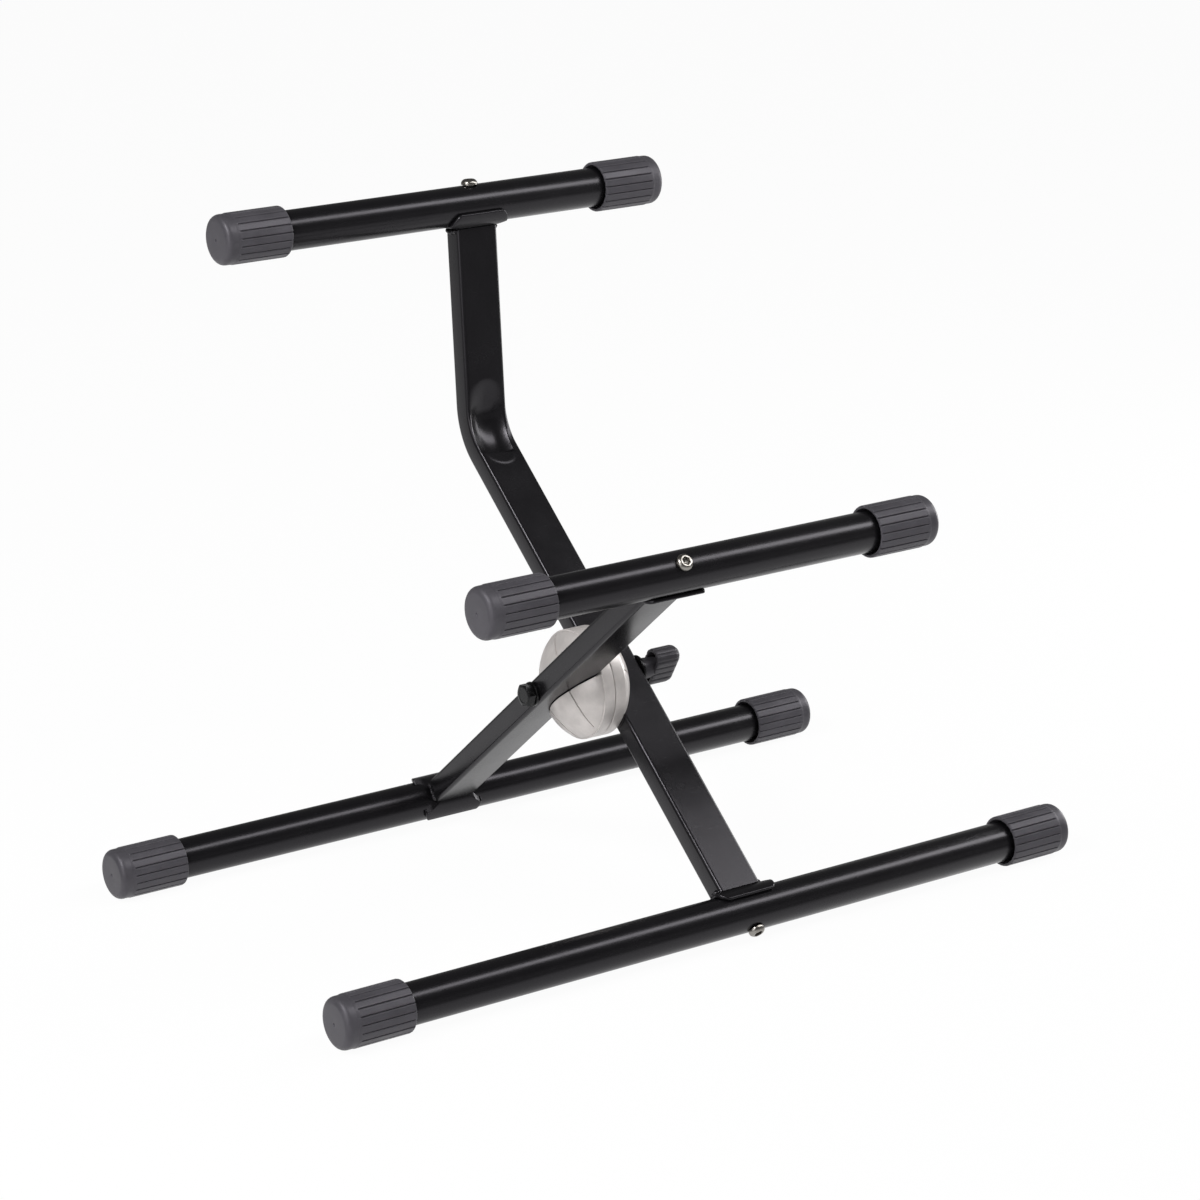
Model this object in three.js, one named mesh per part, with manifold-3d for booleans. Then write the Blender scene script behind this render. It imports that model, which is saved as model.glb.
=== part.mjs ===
// Folding tilt-back stand for an amplifier: two steel arms cross at a ball-shaped
// clutch joint, and each carries a long round base bar and a shorter rest bar.
//
// Frame: millimetres, +Z up, X along the bars, -Y towards the player (the front).
// The origin is on the floor, in the middle of the stand's own box.

import * as THREE from 'three'
import { mergeVertices } from 'three/addons/utils/BufferGeometryUtils.js'
import Module from 'manifold-3d'

const wasm = await Module()
wasm.setup()

// ---------------------------------------------------------------- driving dimensions

// clearances
const seatGap = 0.3 // between pieces that seat on each other
const boltPlay = 0.3 // around every bolt and screw, on the radius
const overcut = 1 // cutters run past what they cut, and joined bodies overlap, by this

// crossbars
const tubeDiameter = 25.4
const tubeWall = 1.5
const baseTubeLength = 530
const restTubeLength = 318

// rubber caps
const capWall = 3.2
const capEndWall = 4
const capLength = 46
const capNoseLength = 8
const capNoseStep = 0.5 // the smooth nose is this much slimmer than the ribs
const capNoseRadius = 4.2
const capRibCount = 20
const capGrooveDepth = 0.7
const capLandShare = 0.62 // share of a rib's pitch that is flat land

// arms: rectangular tube, wide side along X
const armWidth = 30
const armThickness = 15
const armWall = 1.5
const armCornerRadius = 2.6

// side view of the frame
const baseSpread = 270.5 // between the two base bars' centres
const shortArmLower = 173.1 // joint to the rear base bar
const shortArmUpper = 168.4 // joint to the middle rest bar
const longArmLower = 178.9 // joint to the front base bar
const longArmToBend = 196.5 // joint to the bend's corner point
const longArmPost = 148.1 // bend's corner point to the top rest bar
const postBendAngle = THREE.MathUtils.degToRad(46.5)
const bendRadius = 42 // on the arm's centre line

// crush dent on the inside of the bend
const dentDepth = 5
const dentAbove = 33 // its rounded upper end, above the middle of the bend
const dentBelow = 26 // its sharp lower end
const dentLip = 5 // length over which the sharp end drops to full depth
const dentWidth = 27

// places along X
const shortArmX = -25.8
const longArmX = 22
const partingX = -2.5 // where the two halves of the joint meet

// saddles: curved plates between arm and bar
const saddleThickness = 2.5
const saddleLength = 43
const saddleHalfAngle = THREE.MathUtils.degToRad(81)
const saddleCornerRadius = 6

// screws through the bars
const screwDiameter = 6
const screwHeadDiameter = 10.5
const screwHeadHeight = 3.3
const screwRimHeight = 0.6 // straight edge under the domed head
const screwCrownDiameter = 5.8 // flat round the socket
const screwSocketWidth = 4
const screwSocketDepth = 2
const screwReach = 14 // into the arm, past the saddle
const plugLength = 20
const plugThreadLength = 16

// ball joint
const ballDiameter = 69.8
const ballHalfLength = 27.4 // parting plane to the tip of each dome
const ballRimWidth = 7.9 // straight rim beside the parting plane
const domeFullness = 1.4 // 1 is a cone, 2 an ellipse
const domeStep = 0.5 // the dome starts this much inside the rim
const earClearance = 0.6 // between an arm and the ears beside it
const rimChamfer = 0.5
const domeGrooveWidth = 1.2
const domeGrooveDepth = 0.9
const domeGrooveOffset = 14 // along the arm, from the joint's axis
const domeGrooveReach = 32 // end of the grooves, from the joint's axis

// clutch teeth, stored slackened: the crests just clear each other
const toothCount = 36
const toothHeight = 0.8
const toothInnerRadius = 15
const toothOuterRadius = 29
const toothRelief = 1 // clear ring beside the teeth

// clamp bolt, its washers and the sleeves inside the arms
const boltDiameter = 8
const boltHeadWidth = 13 // across flats
const boltHeadHeight = 5.3
const boltHeadChamfer = 1
const boltTipGap = 2 // left in the knob beyond the bolt's tip
const boltWasherDiameter = 15.4
const knobWasherDiameter = 19
const washerThickness = 1.6
const sleeveWall = 1.2

// release spring
const springWireDiameter = 1.6
const springMeanDiameter = 17
const springTurns = 2.5
const springPocketDiameter = 20.4
const springPocketDepth = 5
const springSeatDepth = 1.5

// clamp knob
const knobGripLength = 28
const knobGripThickness = 13.5
const knobGripDepth = 19.5
const knobShellWall = 2.2
const knobEdgeRadius = 6
const knobRecessDepth = 13
const knobBossDiameter = 13
const knobBossTaper = 1 // the boss is this much slimmer at its root, on the radius
const knobNeckDiameter = 14
const knobNeckLength = 2
const knobBossReach = 8 // from the washer to the open side of the grip
const knobTilt = THREE.MathUtils.degToRad(30) // long axis leans this far from upright
const knobRibPitch = 3.4
const knobRibDepth = 0.6
const insertDiameter = 10.4
const insertLength = 18

// ---------------------------------------------------------------- worked out from them

const tubeRadius = tubeDiameter / 2
const capRadius = tubeRadius + seatGap + capWall
const capRibPitch = (2 * Math.PI) / capRibCount
const capLandHalfAngle = (capRibPitch * capLandShare) / 2
const capLandFlat = capRadius * Math.cos(capLandHalfAngle) // centre line to a flat land
const saddleInner = tubeRadius + seatGap
const saddleOuter = saddleInner + saddleThickness
const screwHole = screwDiameter / 2 + boltPlay
const boltRadius = boltDiameter / 2
const boltHole = boltRadius + boltPlay
const ballRadius = ballDiameter / 2
const clutchGap = toothHeight + seatGap // between the rims while the clutch is slack

// the joint's place: both base bars stand on the floor
const jointY = (longArmLower ** 2 - shortArmLower ** 2) / (2 * baseSpread)
const jointZ = capLandFlat + Math.sqrt(longArmLower ** 2 - (jointY + baseSpread / 2) ** 2)
const shortArmAngle = Math.atan2(jointZ - capLandFlat, jointY - baseSpread / 2)
const longArmAngle = Math.atan2(jointZ - capLandFlat, jointY + baseSpread / 2)
const postAngle = longArmAngle + postBendAngle
const topBarY = jointY + longArmToBend * Math.cos(longArmAngle) + longArmPost * Math.cos(postAngle)
const frontReach = baseSpread / 2 + capRadius
const rearReach = topBarY + capRadius
const originY = (rearReach - frontReach) / 2

// ---------------------------------------------------------------- materials

function paint(colour, roughness, metalness) {
  return new THREE.MeshStandardMaterial({ color: colour, roughness, metalness })
}

const blackPaint = paint(0x141416, 0.42, 0.1)
const blackRubber = paint(0x2b2b2d, 0.75, 0)
const castAluminium = paint(0xc9c4c0, 0.38, 0.9)
const brightSteel = paint(0xbdb8b0, 0.22, 1)
const blackSteel = paint(0x1b1b1d, 0.3, 0.7)
const blackPlastic = paint(0x1c1c1e, 0.5, 0)
const zincSteel = paint(0x9c9a94, 0.4, 0.9)

// ---------------------------------------------------------------- solids

// Closed surface as a solid: shared corners merged, slivers on an axis dropped,
// faces turned outwards.
function solidOf(geometry) {
  const bare = geometry.clone()
  for (const name of ['normal', 'uv']) {
    bare.deleteAttribute(name)
  }
  const merged = mergeVertices(bare, 1e-4)
  const corners = merged.attributes.position.array
  const triangles = []
  let volume = 0
  for (let i = 0; i < merged.index.count; i += 3) {
    const [a, b, c] = [0, 1, 2].map((k) => merged.index.getX(i + k))
    if (a === b || b === c || c === a) continue
    triangles.push(a, b, c)
    const [p, q, r] = [a, b, c].map((k) => new THREE.Vector3().fromArray(corners, 3 * k))
    volume += p.dot(q.cross(r))
  }
  if (volume < 0) {
    triangles.reverse()
  }
  const mesh = { numProp: 3, vertProperties: corners, triVerts: new Uint32Array(triangles) }
  return new wasm.Manifold(new wasm.Mesh(mesh))
}

function geometryOf(solid) {
  const mesh = solid.getMesh()
  const geometry = new THREE.BufferGeometry()
  geometry.setAttribute('position', new THREE.BufferAttribute(mesh.vertProperties, 3))
  geometry.setIndex(new THREE.BufferAttribute(mesh.triVerts, 1))
  geometry.computeVertexNormals()
  return geometry
}

function piece(name, solid, material) {
  const mesh = new THREE.Mesh(geometryOf(solid), material)
  mesh.name = name
  return mesh
}

// Revolved about X from a list of [x, radius], closed on the axis.
function revolvedX(profile, segments) {
  const points = profile.map(([x, radius]) => new THREE.Vector2(radius, x))
  return solidOf(new THREE.LatheGeometry(points, segments).rotateZ(-Math.PI / 2))
}

// Revolved about Z from a list of [z, radius].
function revolvedZ(profile, segments) {
  const points = profile.map(([z, radius]) => new THREE.Vector2(radius, z))
  return solidOf(new THREE.LatheGeometry(points, segments).rotateX(Math.PI / 2))
}

// A round bar along X between two places.
function roundX(radius, fromX, toX, segments) {
  return revolvedX([[fromX, 0], [fromX, radius], [toX, radius], [toX, 0]], segments)
}

function roundZ(radius, fromZ, toZ, segments) {
  return revolvedZ([[fromZ, 0], [fromZ, radius], [toZ, radius], [toZ, 0]], segments)
}

// A tube along X.
function ringX(outer, inner, fromX, toX, segments) {
  const profile = [[fromX, inner], [fromX, outer], [toX, outer], [toX, inner], [fromX, inner]]
  return revolvedX(profile, segments)
}

function box(sizeX, sizeY, sizeZ, x = 0, y = 0, z = 0) {
  return solidOf(new THREE.BoxGeometry(sizeX, sizeY, sizeZ).translate(x, y, z))
}

// Rounded rectangle as a list of [x, y], counter-clockwise.
function roundedRectangle(width, height, radius, cornerSteps) {
  const points = []
  for (let corner = 0; corner < 4; corner++) {
    const signX = corner === 0 || corner === 3 ? 1 : -1
    const signY = corner < 2 ? 1 : -1
    for (let step = 0; step <= cornerSteps; step++) {
      const angle = ((corner + step / cornerSteps) * Math.PI) / 2
      const x = signX * (width / 2 - radius) + radius * Math.cos(angle)
      const y = signY * (height / 2 - radius) + radius * Math.sin(angle)
      points.push([x, y])
    }
  }
  return points
}

function shapeOf(points, holes = []) {
  const shape = new THREE.Shape(points.map(([x, y]) => new THREE.Vector2(x, y)))
  for (const hole of holes) {
    shape.holes.push(new THREE.Path(hole.map(([x, y]) => new THREE.Vector2(x, y))))
  }
  return shape
}

// Extruded along +Z from fromZ to toZ.
function extrudedZ(shape, fromZ, toZ, curveSegments = 12) {
  const settings = { depth: toZ - fromZ, bevelEnabled: false, curveSegments }
  return solidOf(new THREE.ExtrudeGeometry(shape, settings).translate(0, 0, fromZ))
}

// Extruded along +X: the shape's x becomes Y and its y becomes Z.
function extrudedX(shape, fromX, toX, curveSegments = 12) {
  const settings = { depth: toX - fromX, bevelEnabled: false, curveSegments }
  const geometry = new THREE.ExtrudeGeometry(shape, settings).translate(0, 0, fromX)
  const upright = new THREE.Matrix4().makeBasis(
    new THREE.Vector3(0, 1, 0),
    new THREE.Vector3(0, 0, 1),
    new THREE.Vector3(1, 0, 0),
  )
  return solidOf(geometry.applyMatrix4(upright))
}

// Skin over rings with the same number of points each. With inner rings it is the
// wall between the two; without them both ends are closed to their middles.
function lofted(outerRings, innerRings = null) {
  const count = outerRings[0].length
  const last = outerRings.length - 1
  const positions = []
  const faces = []
  const addPoint = (point) => positions.push(point.x, point.y, point.z) / 3 - 1
  const addFaces = (corners, flip) => faces.push(...(flip ? corners.reverse() : corners))
  const addSkin = (rings, flip) => {
    const first = positions.length / 3
    rings.flat().forEach(addPoint)
    for (let i = 0; i < last * count; i++) {
      const a = first + i
      const b = first + i - (i % count) + ((i + 1) % count)
      addFaces([a, b, b + count, a, b + count, a + count], flip)
    }
    return first
  }
  const outer = addSkin(outerRings, false)
  const inner = innerRings ? addSkin(innerRings, true) : 0
  for (const ring of [0, last]) {
    const flip = ring === 0
    const sum = outerRings[ring].reduce((total, point) => total.add(point), new THREE.Vector3())
    const middle = innerRings ? 0 : addPoint(sum.divideScalar(count))
    for (let i = 0; i < count; i++) {
      const next = (i + 1) % count
      const [a, b] = [outer + ring * count + i, outer + ring * count + next]
      const [c, d] = [inner + ring * count + i, inner + ring * count + next]
      addFaces(innerRings ? [a, b, d, a, d, c] : [a, b, middle], flip)
    }
  }
  const geometry = new THREE.BufferGeometry()
  geometry.setAttribute('position', new THREE.Float32BufferAttribute(positions, 3))
  geometry.setIndex(faces)
  return solidOf(geometry)
}

// ---------------------------------------------------------------- crossbars

// Frame of a crossbar: origin on its centre line under its arm, +Z into the arm.

function crossTube(length, armX) {
  const bore = roundX(tubeRadius - tubeWall, -length, length, 20)
  const tube = roundX(tubeRadius, -length / 2, length / 2, 32).subtract(bore)
  return tube.subtract(roundZ(screwHole, -tubeDiameter, tubeDiameter, 12).translate([armX, 0, 0]))
}

// Outline of the ribbed sleeve, drawn so that one flat land faces down.
function ribbedOutline() {
  const points = []
  for (let rib = 0; rib < capRibCount; rib++) {
    const middle = -Math.PI / 2 + rib * capRibPitch
    for (const [angle, radius] of [
      [middle - capLandHalfAngle, capRadius],
      [middle + capLandHalfAngle, capRadius],
      [middle + capRibPitch / 2, capRadius - capGrooveDepth],
    ]) {
      points.push([radius * Math.cos(angle), radius * Math.sin(angle)])
    }
  }
  return points
}

// Rubber cap along +X: its open rim at x = 0 and its end face at x = capLength.
function rubberCap() {
  const shoulder = capLength - capNoseLength
  const noseRadius = capRadius - capNoseStep
  const sleeve = extrudedX(shapeOf(ribbedOutline()), 0, shoulder)
  const nose = [[shoulder - overcut, 0], [shoulder - overcut, noseRadius]]
  for (let step = 0; step <= 2; step++) {
    const angle = (step / 2) * (Math.PI / 2)
    nose.push([
      capLength - capNoseRadius * (1 - Math.sin(angle)),
      noseRadius - capNoseRadius * (1 - Math.cos(angle)),
    ])
  }
  nose.push([capLength, 0])
  const bore = roundX(tubeRadius + seatGap, -overcut, capLength - capEndWall, capRibCount)
  return sleeve.add(revolvedX(nose, capRibCount)).subtract(bore)
}

// Half-pipe plate between a bar and an arm's end, its four corners rounded off.
function saddle(armX) {
  const arc = new THREE.Shape()
  const from = Math.PI / 2 - saddleHalfAngle
  const to = Math.PI / 2 + saddleHalfAngle
  arc.absarc(0, 0, saddleOuter, from, to, false)
  arc.absarc(0, 0, saddleInner, to, from, true)
  const halfPipe = extrudedX(arc, armX - saddleLength / 2, armX + saddleLength / 2, 9)
  const span = 2 * saddleOuter * Math.sin(saddleHalfAngle)
  const outline = roundedRectangle(saddleLength, span, saddleCornerRadius, 3)
  const plan = shapeOf(outline.map(([x, y]) => [x + armX, y]))
  const trim = extrudedZ(plan, -saddleOuter, 2 * saddleOuter)
  const hole = roundZ(screwHole, 0, 2 * saddleOuter, 12).translate([armX, 0, 0])
  return halfPipe.intersect(trim).subtract(hole)
}

// Button-head screw from the bar's far side up into the arm's threaded plug.
function barScrew(armX) {
  const seat = -(tubeRadius + seatGap)
  const radius = screwHeadDiameter / 2
  const crown = screwCrownDiameter / 2
  const top = seat - screwHeadHeight
  const profile = [[top, 0], [top, crown]]
  const domeSteps = 3
  for (let step = 1; step < domeSteps; step++) {
    const angle = (step / domeSteps) * (Math.PI / 2)
    const rise = (screwHeadHeight - screwRimHeight) * (1 - Math.cos(angle))
    profile.push([top + rise, crown + (radius - crown) * Math.sin(angle)])
  }
  const tip = saddleOuter + screwReach
  profile.push(
    [seat - screwRimHeight, radius],
    [seat, radius],
    [seat, screwDiameter / 2],
    [tip, screwDiameter / 2],
    [tip, 0],
  )
  const corner = screwSocketWidth / Math.sqrt(3)
  const socket = new THREE.CylinderGeometry(corner, corner, 2 * screwSocketDepth, 6)
  const cutter = solidOf(socket.rotateX(Math.PI / 2).translate(0, 0, top))
  return revolvedZ(profile, 12).subtract(cutter).translate([armX, 0, 0])
}

// Threaded block fixed inside an arm's end.
function armPlug(armX) {
  const width = armWidth - 2 * armWall - 2 * seatGap
  const thickness = armThickness - 2 * armWall - 2 * seatGap
  const outline = roundedRectangle(width, thickness, armCornerRadius - armWall, 1)
  const from = saddleOuter + seatGap
  const block = extrudedZ(shapeOf(outline), from, from + plugLength)
  const thread = roundZ(screwHole, from - overcut, from + plugThreadLength, 12)
  return block.subtract(thread).translate([armX, 0, 0])
}

function crossbar(name, tubeLength, armX, bodyTurn, place) {
  const group = new THREE.Group()
  group.add(piece(`${name}_tube`, crossTube(tubeLength, armX), blackPaint))
  const capX = tubeLength / 2 + seatGap + capEndWall - capLength
  for (const side of [1, -1]) {
    const cap = piece(`${name}_cap_${side > 0 ? 'right' : 'left'}`, rubberCap(), blackRubber)
    const turn = new THREE.Group()
    turn.rotation.x = -bodyTurn - place.turn
    cap.position.x = side * capX
    cap.rotation.z = side > 0 ? 0 : Math.PI
    turn.add(cap)
    group.add(turn)
  }
  group.add(piece(`${name}_saddle`, saddle(armX), blackPaint))
  group.add(piece(`${name}_screw`, barScrew(armX), brightSteel))
  group.add(piece(`${name}_arm_plug`, armPlug(armX), zincSteel))
  group.position.set(0, place.y, place.z)
  group.rotation.x = place.turn
  return group
}

// ---------------------------------------------------------------- arms

// Frame of an arm: origin at the joint's axis, +Z up along the arm.

// A cylinder along X that shapes an arm's end to its saddle.
function endCope(y, z) {
  return roundX(saddleOuter + seatGap, -2 * armWidth, 2 * armWidth, 36).translate([0, y, z])
}

function boltPassage(radius) {
  return roundX(radius, -armWidth, armWidth, 16)
}

function armOutlines() {
  const inner = armCornerRadius - armWall
  return {
    outside: roundedRectangle(armWidth, armThickness, armCornerRadius, 2),
    inside: roundedRectangle(armWidth - 2 * armWall, armThickness - 2 * armWall, inner, 2),
  }
}

function shortArm() {
  const { outside, inside } = armOutlines()
  const bar = extrudedZ(shapeOf(outside, [inside]), -shortArmLower, shortArmUpper)
  return bar
    .subtract(endCope(0, -shortArmLower))
    .subtract(endCope(0, shortArmUpper))
    .subtract(boltPassage(boltHole))
    .translate([shortArmX, 0, 0])
}

// Point and direction on the long arm's centre line, s millimetres past the middle
// of the bend: straight, an arc of bendRadius, and straight again.
function longArmStation(s) {
  const halfArc = (bendRadius * postBendAngle) / 2
  const tangent = bendRadius * Math.tan(postBendAngle / 2)
  const turned = THREE.MathUtils.clamp((s + halfArc) / bendRadius, 0, postBendAngle)
  const along = s < -halfArc ? s + halfArc : 0
  const beyond = s > halfArc ? s - halfArc : 0
  const startZ = longArmToBend - tangent
  const y = -bendRadius * (1 - Math.cos(turned)) - beyond * Math.sin(turned)
  const z = startZ + along + bendRadius * Math.sin(turned) + beyond * Math.cos(turned)
  return { y, z, turned }
}

// How far the wall on the inside of the bend is pressed in at station s, x across.
function dentAt(s, x) {
  const across = Math.max(0, 1 - (2 * x / dentWidth) ** 4)
  if (s < -dentBelow || s > dentAbove || across === 0) return 0
  const up = THREE.MathUtils.smoothstep(dentAbove - s, 0, dentAbove)
  const down = THREE.MathUtils.smoothstep(s + dentBelow, 0, dentLip)
  return dentDepth * Math.sqrt(up) * down * across
}

// Outline with extra points across the wall that takes the dent.
function dentedOutline(width, thickness, radius, columns) {
  const outline = roundedRectangle(width, thickness, radius, 2)
  const flat = width / 2 - radius
  const extra = []
  for (let i = 1; i < columns; i++) {
    extra.push([-flat + (2 * flat * i) / columns, -thickness / 2])
  }
  return [...outline.slice(0, 9), ...extra, ...outline.slice(9)]
}

function longArmRing(outline, s) {
  const { y, z, turned } = longArmStation(s)
  return outline.map(([x, offset]) => {
    const pressed = offset < -armThickness / 4 ? offset + dentAt(s, x) : offset
    const ringY = y + pressed * Math.cos(turned)
    const ringZ = z + pressed * Math.sin(turned)
    return new THREE.Vector3(longArmX + x, ringY, ringZ)
  })
}

function longArmStations() {
  const halfArc = (bendRadius * postBendAngle) / 2
  const tangent = bendRadius * Math.tan(postBendAngle / 2)
  const lower = -(longArmLower + longArmToBend - tangent) - halfArc
  const upper = longArmPost - tangent + halfArc
  const stations = [lower]
  const dentSteps = 12
  for (let step = 0; step <= dentSteps; step++) {
    stations.push(-dentBelow + ((dentAbove + dentBelow) * step) / dentSteps)
  }
  stations.push(upper)
  return stations
}

function longArm() {
  const columns = 6
  const inner = armCornerRadius - armWall
  const outside = dentedOutline(armWidth, armThickness, armCornerRadius, columns)
  const inside = dentedOutline(armWidth - 2 * armWall, armThickness - 2 * armWall, inner, columns)
  const stations = longArmStations()
  const bent = lofted(
    stations.map((s) => longArmRing(outside, s)),
    stations.map((s) => longArmRing(inside, s)),
  )
  const postY = -longArmPost * Math.sin(postBendAngle)
  const postZ = longArmToBend + longArmPost * Math.cos(postBendAngle)
  return bent
    .subtract(endCope(0, -longArmLower))
    .subtract(endCope(postY, postZ))
    .subtract(boltPassage(boltHole).translate([longArmX, 0, 0]))
}

// Steel sleeve round the bolt that keeps an arm's walls from being squeezed in.
function armSleeve(armX) {
  const half = armWidth / 2 - armWall - seatGap
  return ringX(boltHole + sleeveWall, boltHole, armX - half, armX + half, 16)
}

// ---------------------------------------------------------------- ball joint

// A half of the joint along +X from its rim plane at x = 0, in its arm's frame.

// Profile of rim and dome, drawn in from the outside by inset.
function ballProfile(inset) {
  const rim = ballRimWidth - clutchGap / 2
  const tip = ballHalfLength - clutchGap / 2
  const profile = [
    [0, 0],
    [0, ballRadius - rimChamfer - inset],
    [rimChamfer, ballRadius - inset],
    [rim, ballRadius - inset],
  ]
  const domeRadius = ballRadius - domeStep - inset
  const steps = 6
  for (let step = 0; step <= steps; step++) {
    const angle = (step / steps) * (Math.PI / 2)
    const rise = Math.sin(angle) ** (2 / domeFullness)
    const radius = Math.cos(angle) ** (2 / domeFullness)
    profile.push([rim + (tip - inset - rim) * rise, domeRadius * radius])
  }
  return profile
}

// Two shallow grooves across each ear, square to the arm.
function domeGrooves() {
  const lengthX = ballHalfLength
  const fromX = ballRimWidth + rimChamfer
  const blade = box(lengthX, 2 * ballDiameter, domeGrooveWidth, fromX + lengthX / 2)
  return blade
    .translate([0, 0, domeGrooveOffset])
    .add(blade.translate([0, 0, -domeGrooveOffset]))
    .intersect(roundX(domeGrooveReach, 0, 2 * ballHalfLength, 24))
    .subtract(revolvedX(ballProfile(domeGrooveDepth), 40))
}

// Ring of radial teeth: crests toothHeight / 2 in front of the rim plane, valleys as
// far behind it, and a foot that reaches into the half. The phase counts half teeth.
function toothRing(phase) {
  const steps = 2 * toothCount
  const ring = (radius, heights) => {
    const points = []
    for (let i = 0; i < steps; i++) {
      const angle = ((i + phase) / steps) * 2 * Math.PI
      points.push(new THREE.Vector3(heights[i % 2], radius * Math.cos(angle), radius * Math.sin(angle)))
    }
    return points
  }
  const foot = 2 * toothHeight + toothRelief
  const teeth = [-toothHeight / 2, toothHeight / 2]
  const skin = (radius) => [ring(radius, teeth), ring(radius, [foot, foot])]
  return lofted(skin(toothOuterRadius), skin(toothInnerRadius))
}

function jointHalf(armInnerX, pocketDepth, phase) {
  const slotFloor = armInnerX - seatGap
  const slotWidth = armThickness + 2 * earClearance
  const reliefOuter = toothOuterRadius + toothRelief
  const relief = ringX(reliefOuter, toothInnerRadius - toothRelief, -overcut, toothHeight, 32)
  const slot = box(2 * ballHalfLength, slotWidth, 4 * ballRadius, slotFloor + ballHalfLength)
  const pocket = roundX(springPocketDiameter / 2, -overcut, pocketDepth, 20)
  return revolvedX(ballProfile(0), 40)
    .subtract(relief)
    .add(toothRing(phase))
    .subtract(slot)
    .subtract(domeGrooves())
    .subtract(pocket)
    .subtract(roundX(boltHole, -overcut, ballHalfLength, 16))
}

// Coil round the bolt that pushes the halves apart when the knob is slackened.
class SpringPath extends THREE.Curve {
  constructor(fromX, toX) {
    super()
    this.fromX = fromX
    this.toX = toX
  }

  getPoint(t, target = new THREE.Vector3()) {
    const angle = t * springTurns * 2 * Math.PI
    const radius = springMeanDiameter / 2
    const x = THREE.MathUtils.lerp(this.fromX, this.toX, t)
    return target.set(x, radius * Math.cos(angle), radius * Math.sin(angle))
  }
}

function releaseSpring(fromX, toX) {
  const wire = new THREE.Shape()
  wire.absarc(0, 0, springWireDiameter / 2, 0, 2 * Math.PI, false)
  const path = new SpringPath(fromX + springWireDiameter / 2, toX - springWireDiameter / 2)
  const steps = Math.round(springTurns * 8)
  return solidOf(new THREE.ExtrudeGeometry(wire, { steps, curveSegments: 3, extrudePath: path }))
}

// ---------------------------------------------------------------- clamp bolt and knob

function hexagonX(acrossFlats, fromX, toX) {
  const radius = acrossFlats / Math.sqrt(3)
  const points = [0, 1, 2, 3, 4, 5].map((i) => {
    const angle = (i * Math.PI) / 3
    return [radius * Math.cos(angle), radius * Math.sin(angle)]
  })
  return extrudedX(shapeOf(points), fromX, toX)
}

function clampBolt(headX, tipX) {
  const outerX = headX - boltHeadHeight
  const corner = boltHeadWidth / Math.sqrt(3)
  const envelope = revolvedX(
    [
      [outerX, 0],
      [outerX, corner - boltHeadChamfer],
      [outerX + boltHeadChamfer / 2, corner],
      [headX, corner],
      [headX, 0],
    ],
    24,
  )
  const head = hexagonX(boltHeadWidth, outerX, headX).intersect(envelope)
  return head.add(roundX(boltRadius, headX - overcut, tipX, 16))
}

function washer(diameter, fromX) {
  return ringX(diameter / 2, boltHole, fromX, fromX + washerThickness, 20)
}

// Stadium outline of the knob's grip, drawn in by inset, as points in the YZ plane
// at x; every second point dips by ribDepth to leave ribs parallel to the axis.
function gripRing(x, inset, ribDepth) {
  const endRadius = knobGripThickness / 2
  const half = (knobGripLength - knobGripThickness) / 2
  const straightSteps = 2 * Math.round((2 * half) / knobRibPitch)
  const roundSteps = 2 * Math.round((Math.PI * endRadius) / knobRibPitch)
  const ring = []
  const add = (z, angle) => {
    const radius = endRadius - inset - (ring.length % 2) * ribDepth
    ring.push(new THREE.Vector3(x, radius * Math.cos(angle), z + radius * Math.sin(angle)))
  }
  for (const side of [0, 1]) {
    const sign = side ? -1 : 1
    for (let i = 0; i < straightSteps; i++) {
      add(sign * half * ((2 * i) / straightSteps - 1), side * Math.PI)
    }
    for (let i = 0; i < roundSteps; i++) {
      add(sign * half, (side + i / roundSteps) * Math.PI)
    }
  }
  return ring
}

// Knob along +X from x = 0 at its washer: hollow grip, central boss and neck.
function clampKnob() {
  const endX = knobBossReach + knobGripDepth
  const rings = [gripRing(knobBossReach, 0, knobRibDepth)]
  const edgeSteps = 3
  for (let step = 0; step <= edgeSteps; step++) {
    const angle = (step / edgeSteps) * (Math.PI / 2)
    const x = endX - knobEdgeRadius * (1 - Math.sin(angle))
    rings.push(gripRing(x, knobEdgeRadius * (1 - Math.cos(angle)), knobRibDepth * Math.cos(angle)))
  }
  const recess = [-overcut, knobRecessDepth].map((x) => gripRing(knobBossReach + x, knobShellWall, 0))
  const bossEnd = endX - knobShellWall
  const boss = knobBossDiameter / 2
  const neck = knobNeckDiameter / 2
  const post = revolvedX(
    [
      [0, 0],
      [0, neck],
      [knobNeckLength, neck],
      [knobBossReach, boss],
      [bossEnd, boss - knobBossTaper],
      [bossEnd, 0],
    ],
    20,
  )
  const bore = roundX(insertDiameter / 2 + seatGap, -overcut, insertLength + seatGap, 20)
  return lofted(rings).subtract(lofted(recess)).add(post).subtract(bore)
}

function knobInsert() {
  return ringX(insertDiameter / 2, boltHole, seatGap, insertLength, 20)
}

// ---------------------------------------------------------------- assembly

const shortArmInnerX = shortArmX + armWidth / 2
const shortArmOuterX = shortArmX - armWidth / 2
const longArmInnerX = longArmX - armWidth / 2
const longArmOuterX = longArmX + armWidth / 2
const leftRimX = partingX - clutchGap / 2
const rightRimX = partingX + clutchGap / 2
const knobX = longArmOuterX + washerThickness + seatGap

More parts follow.
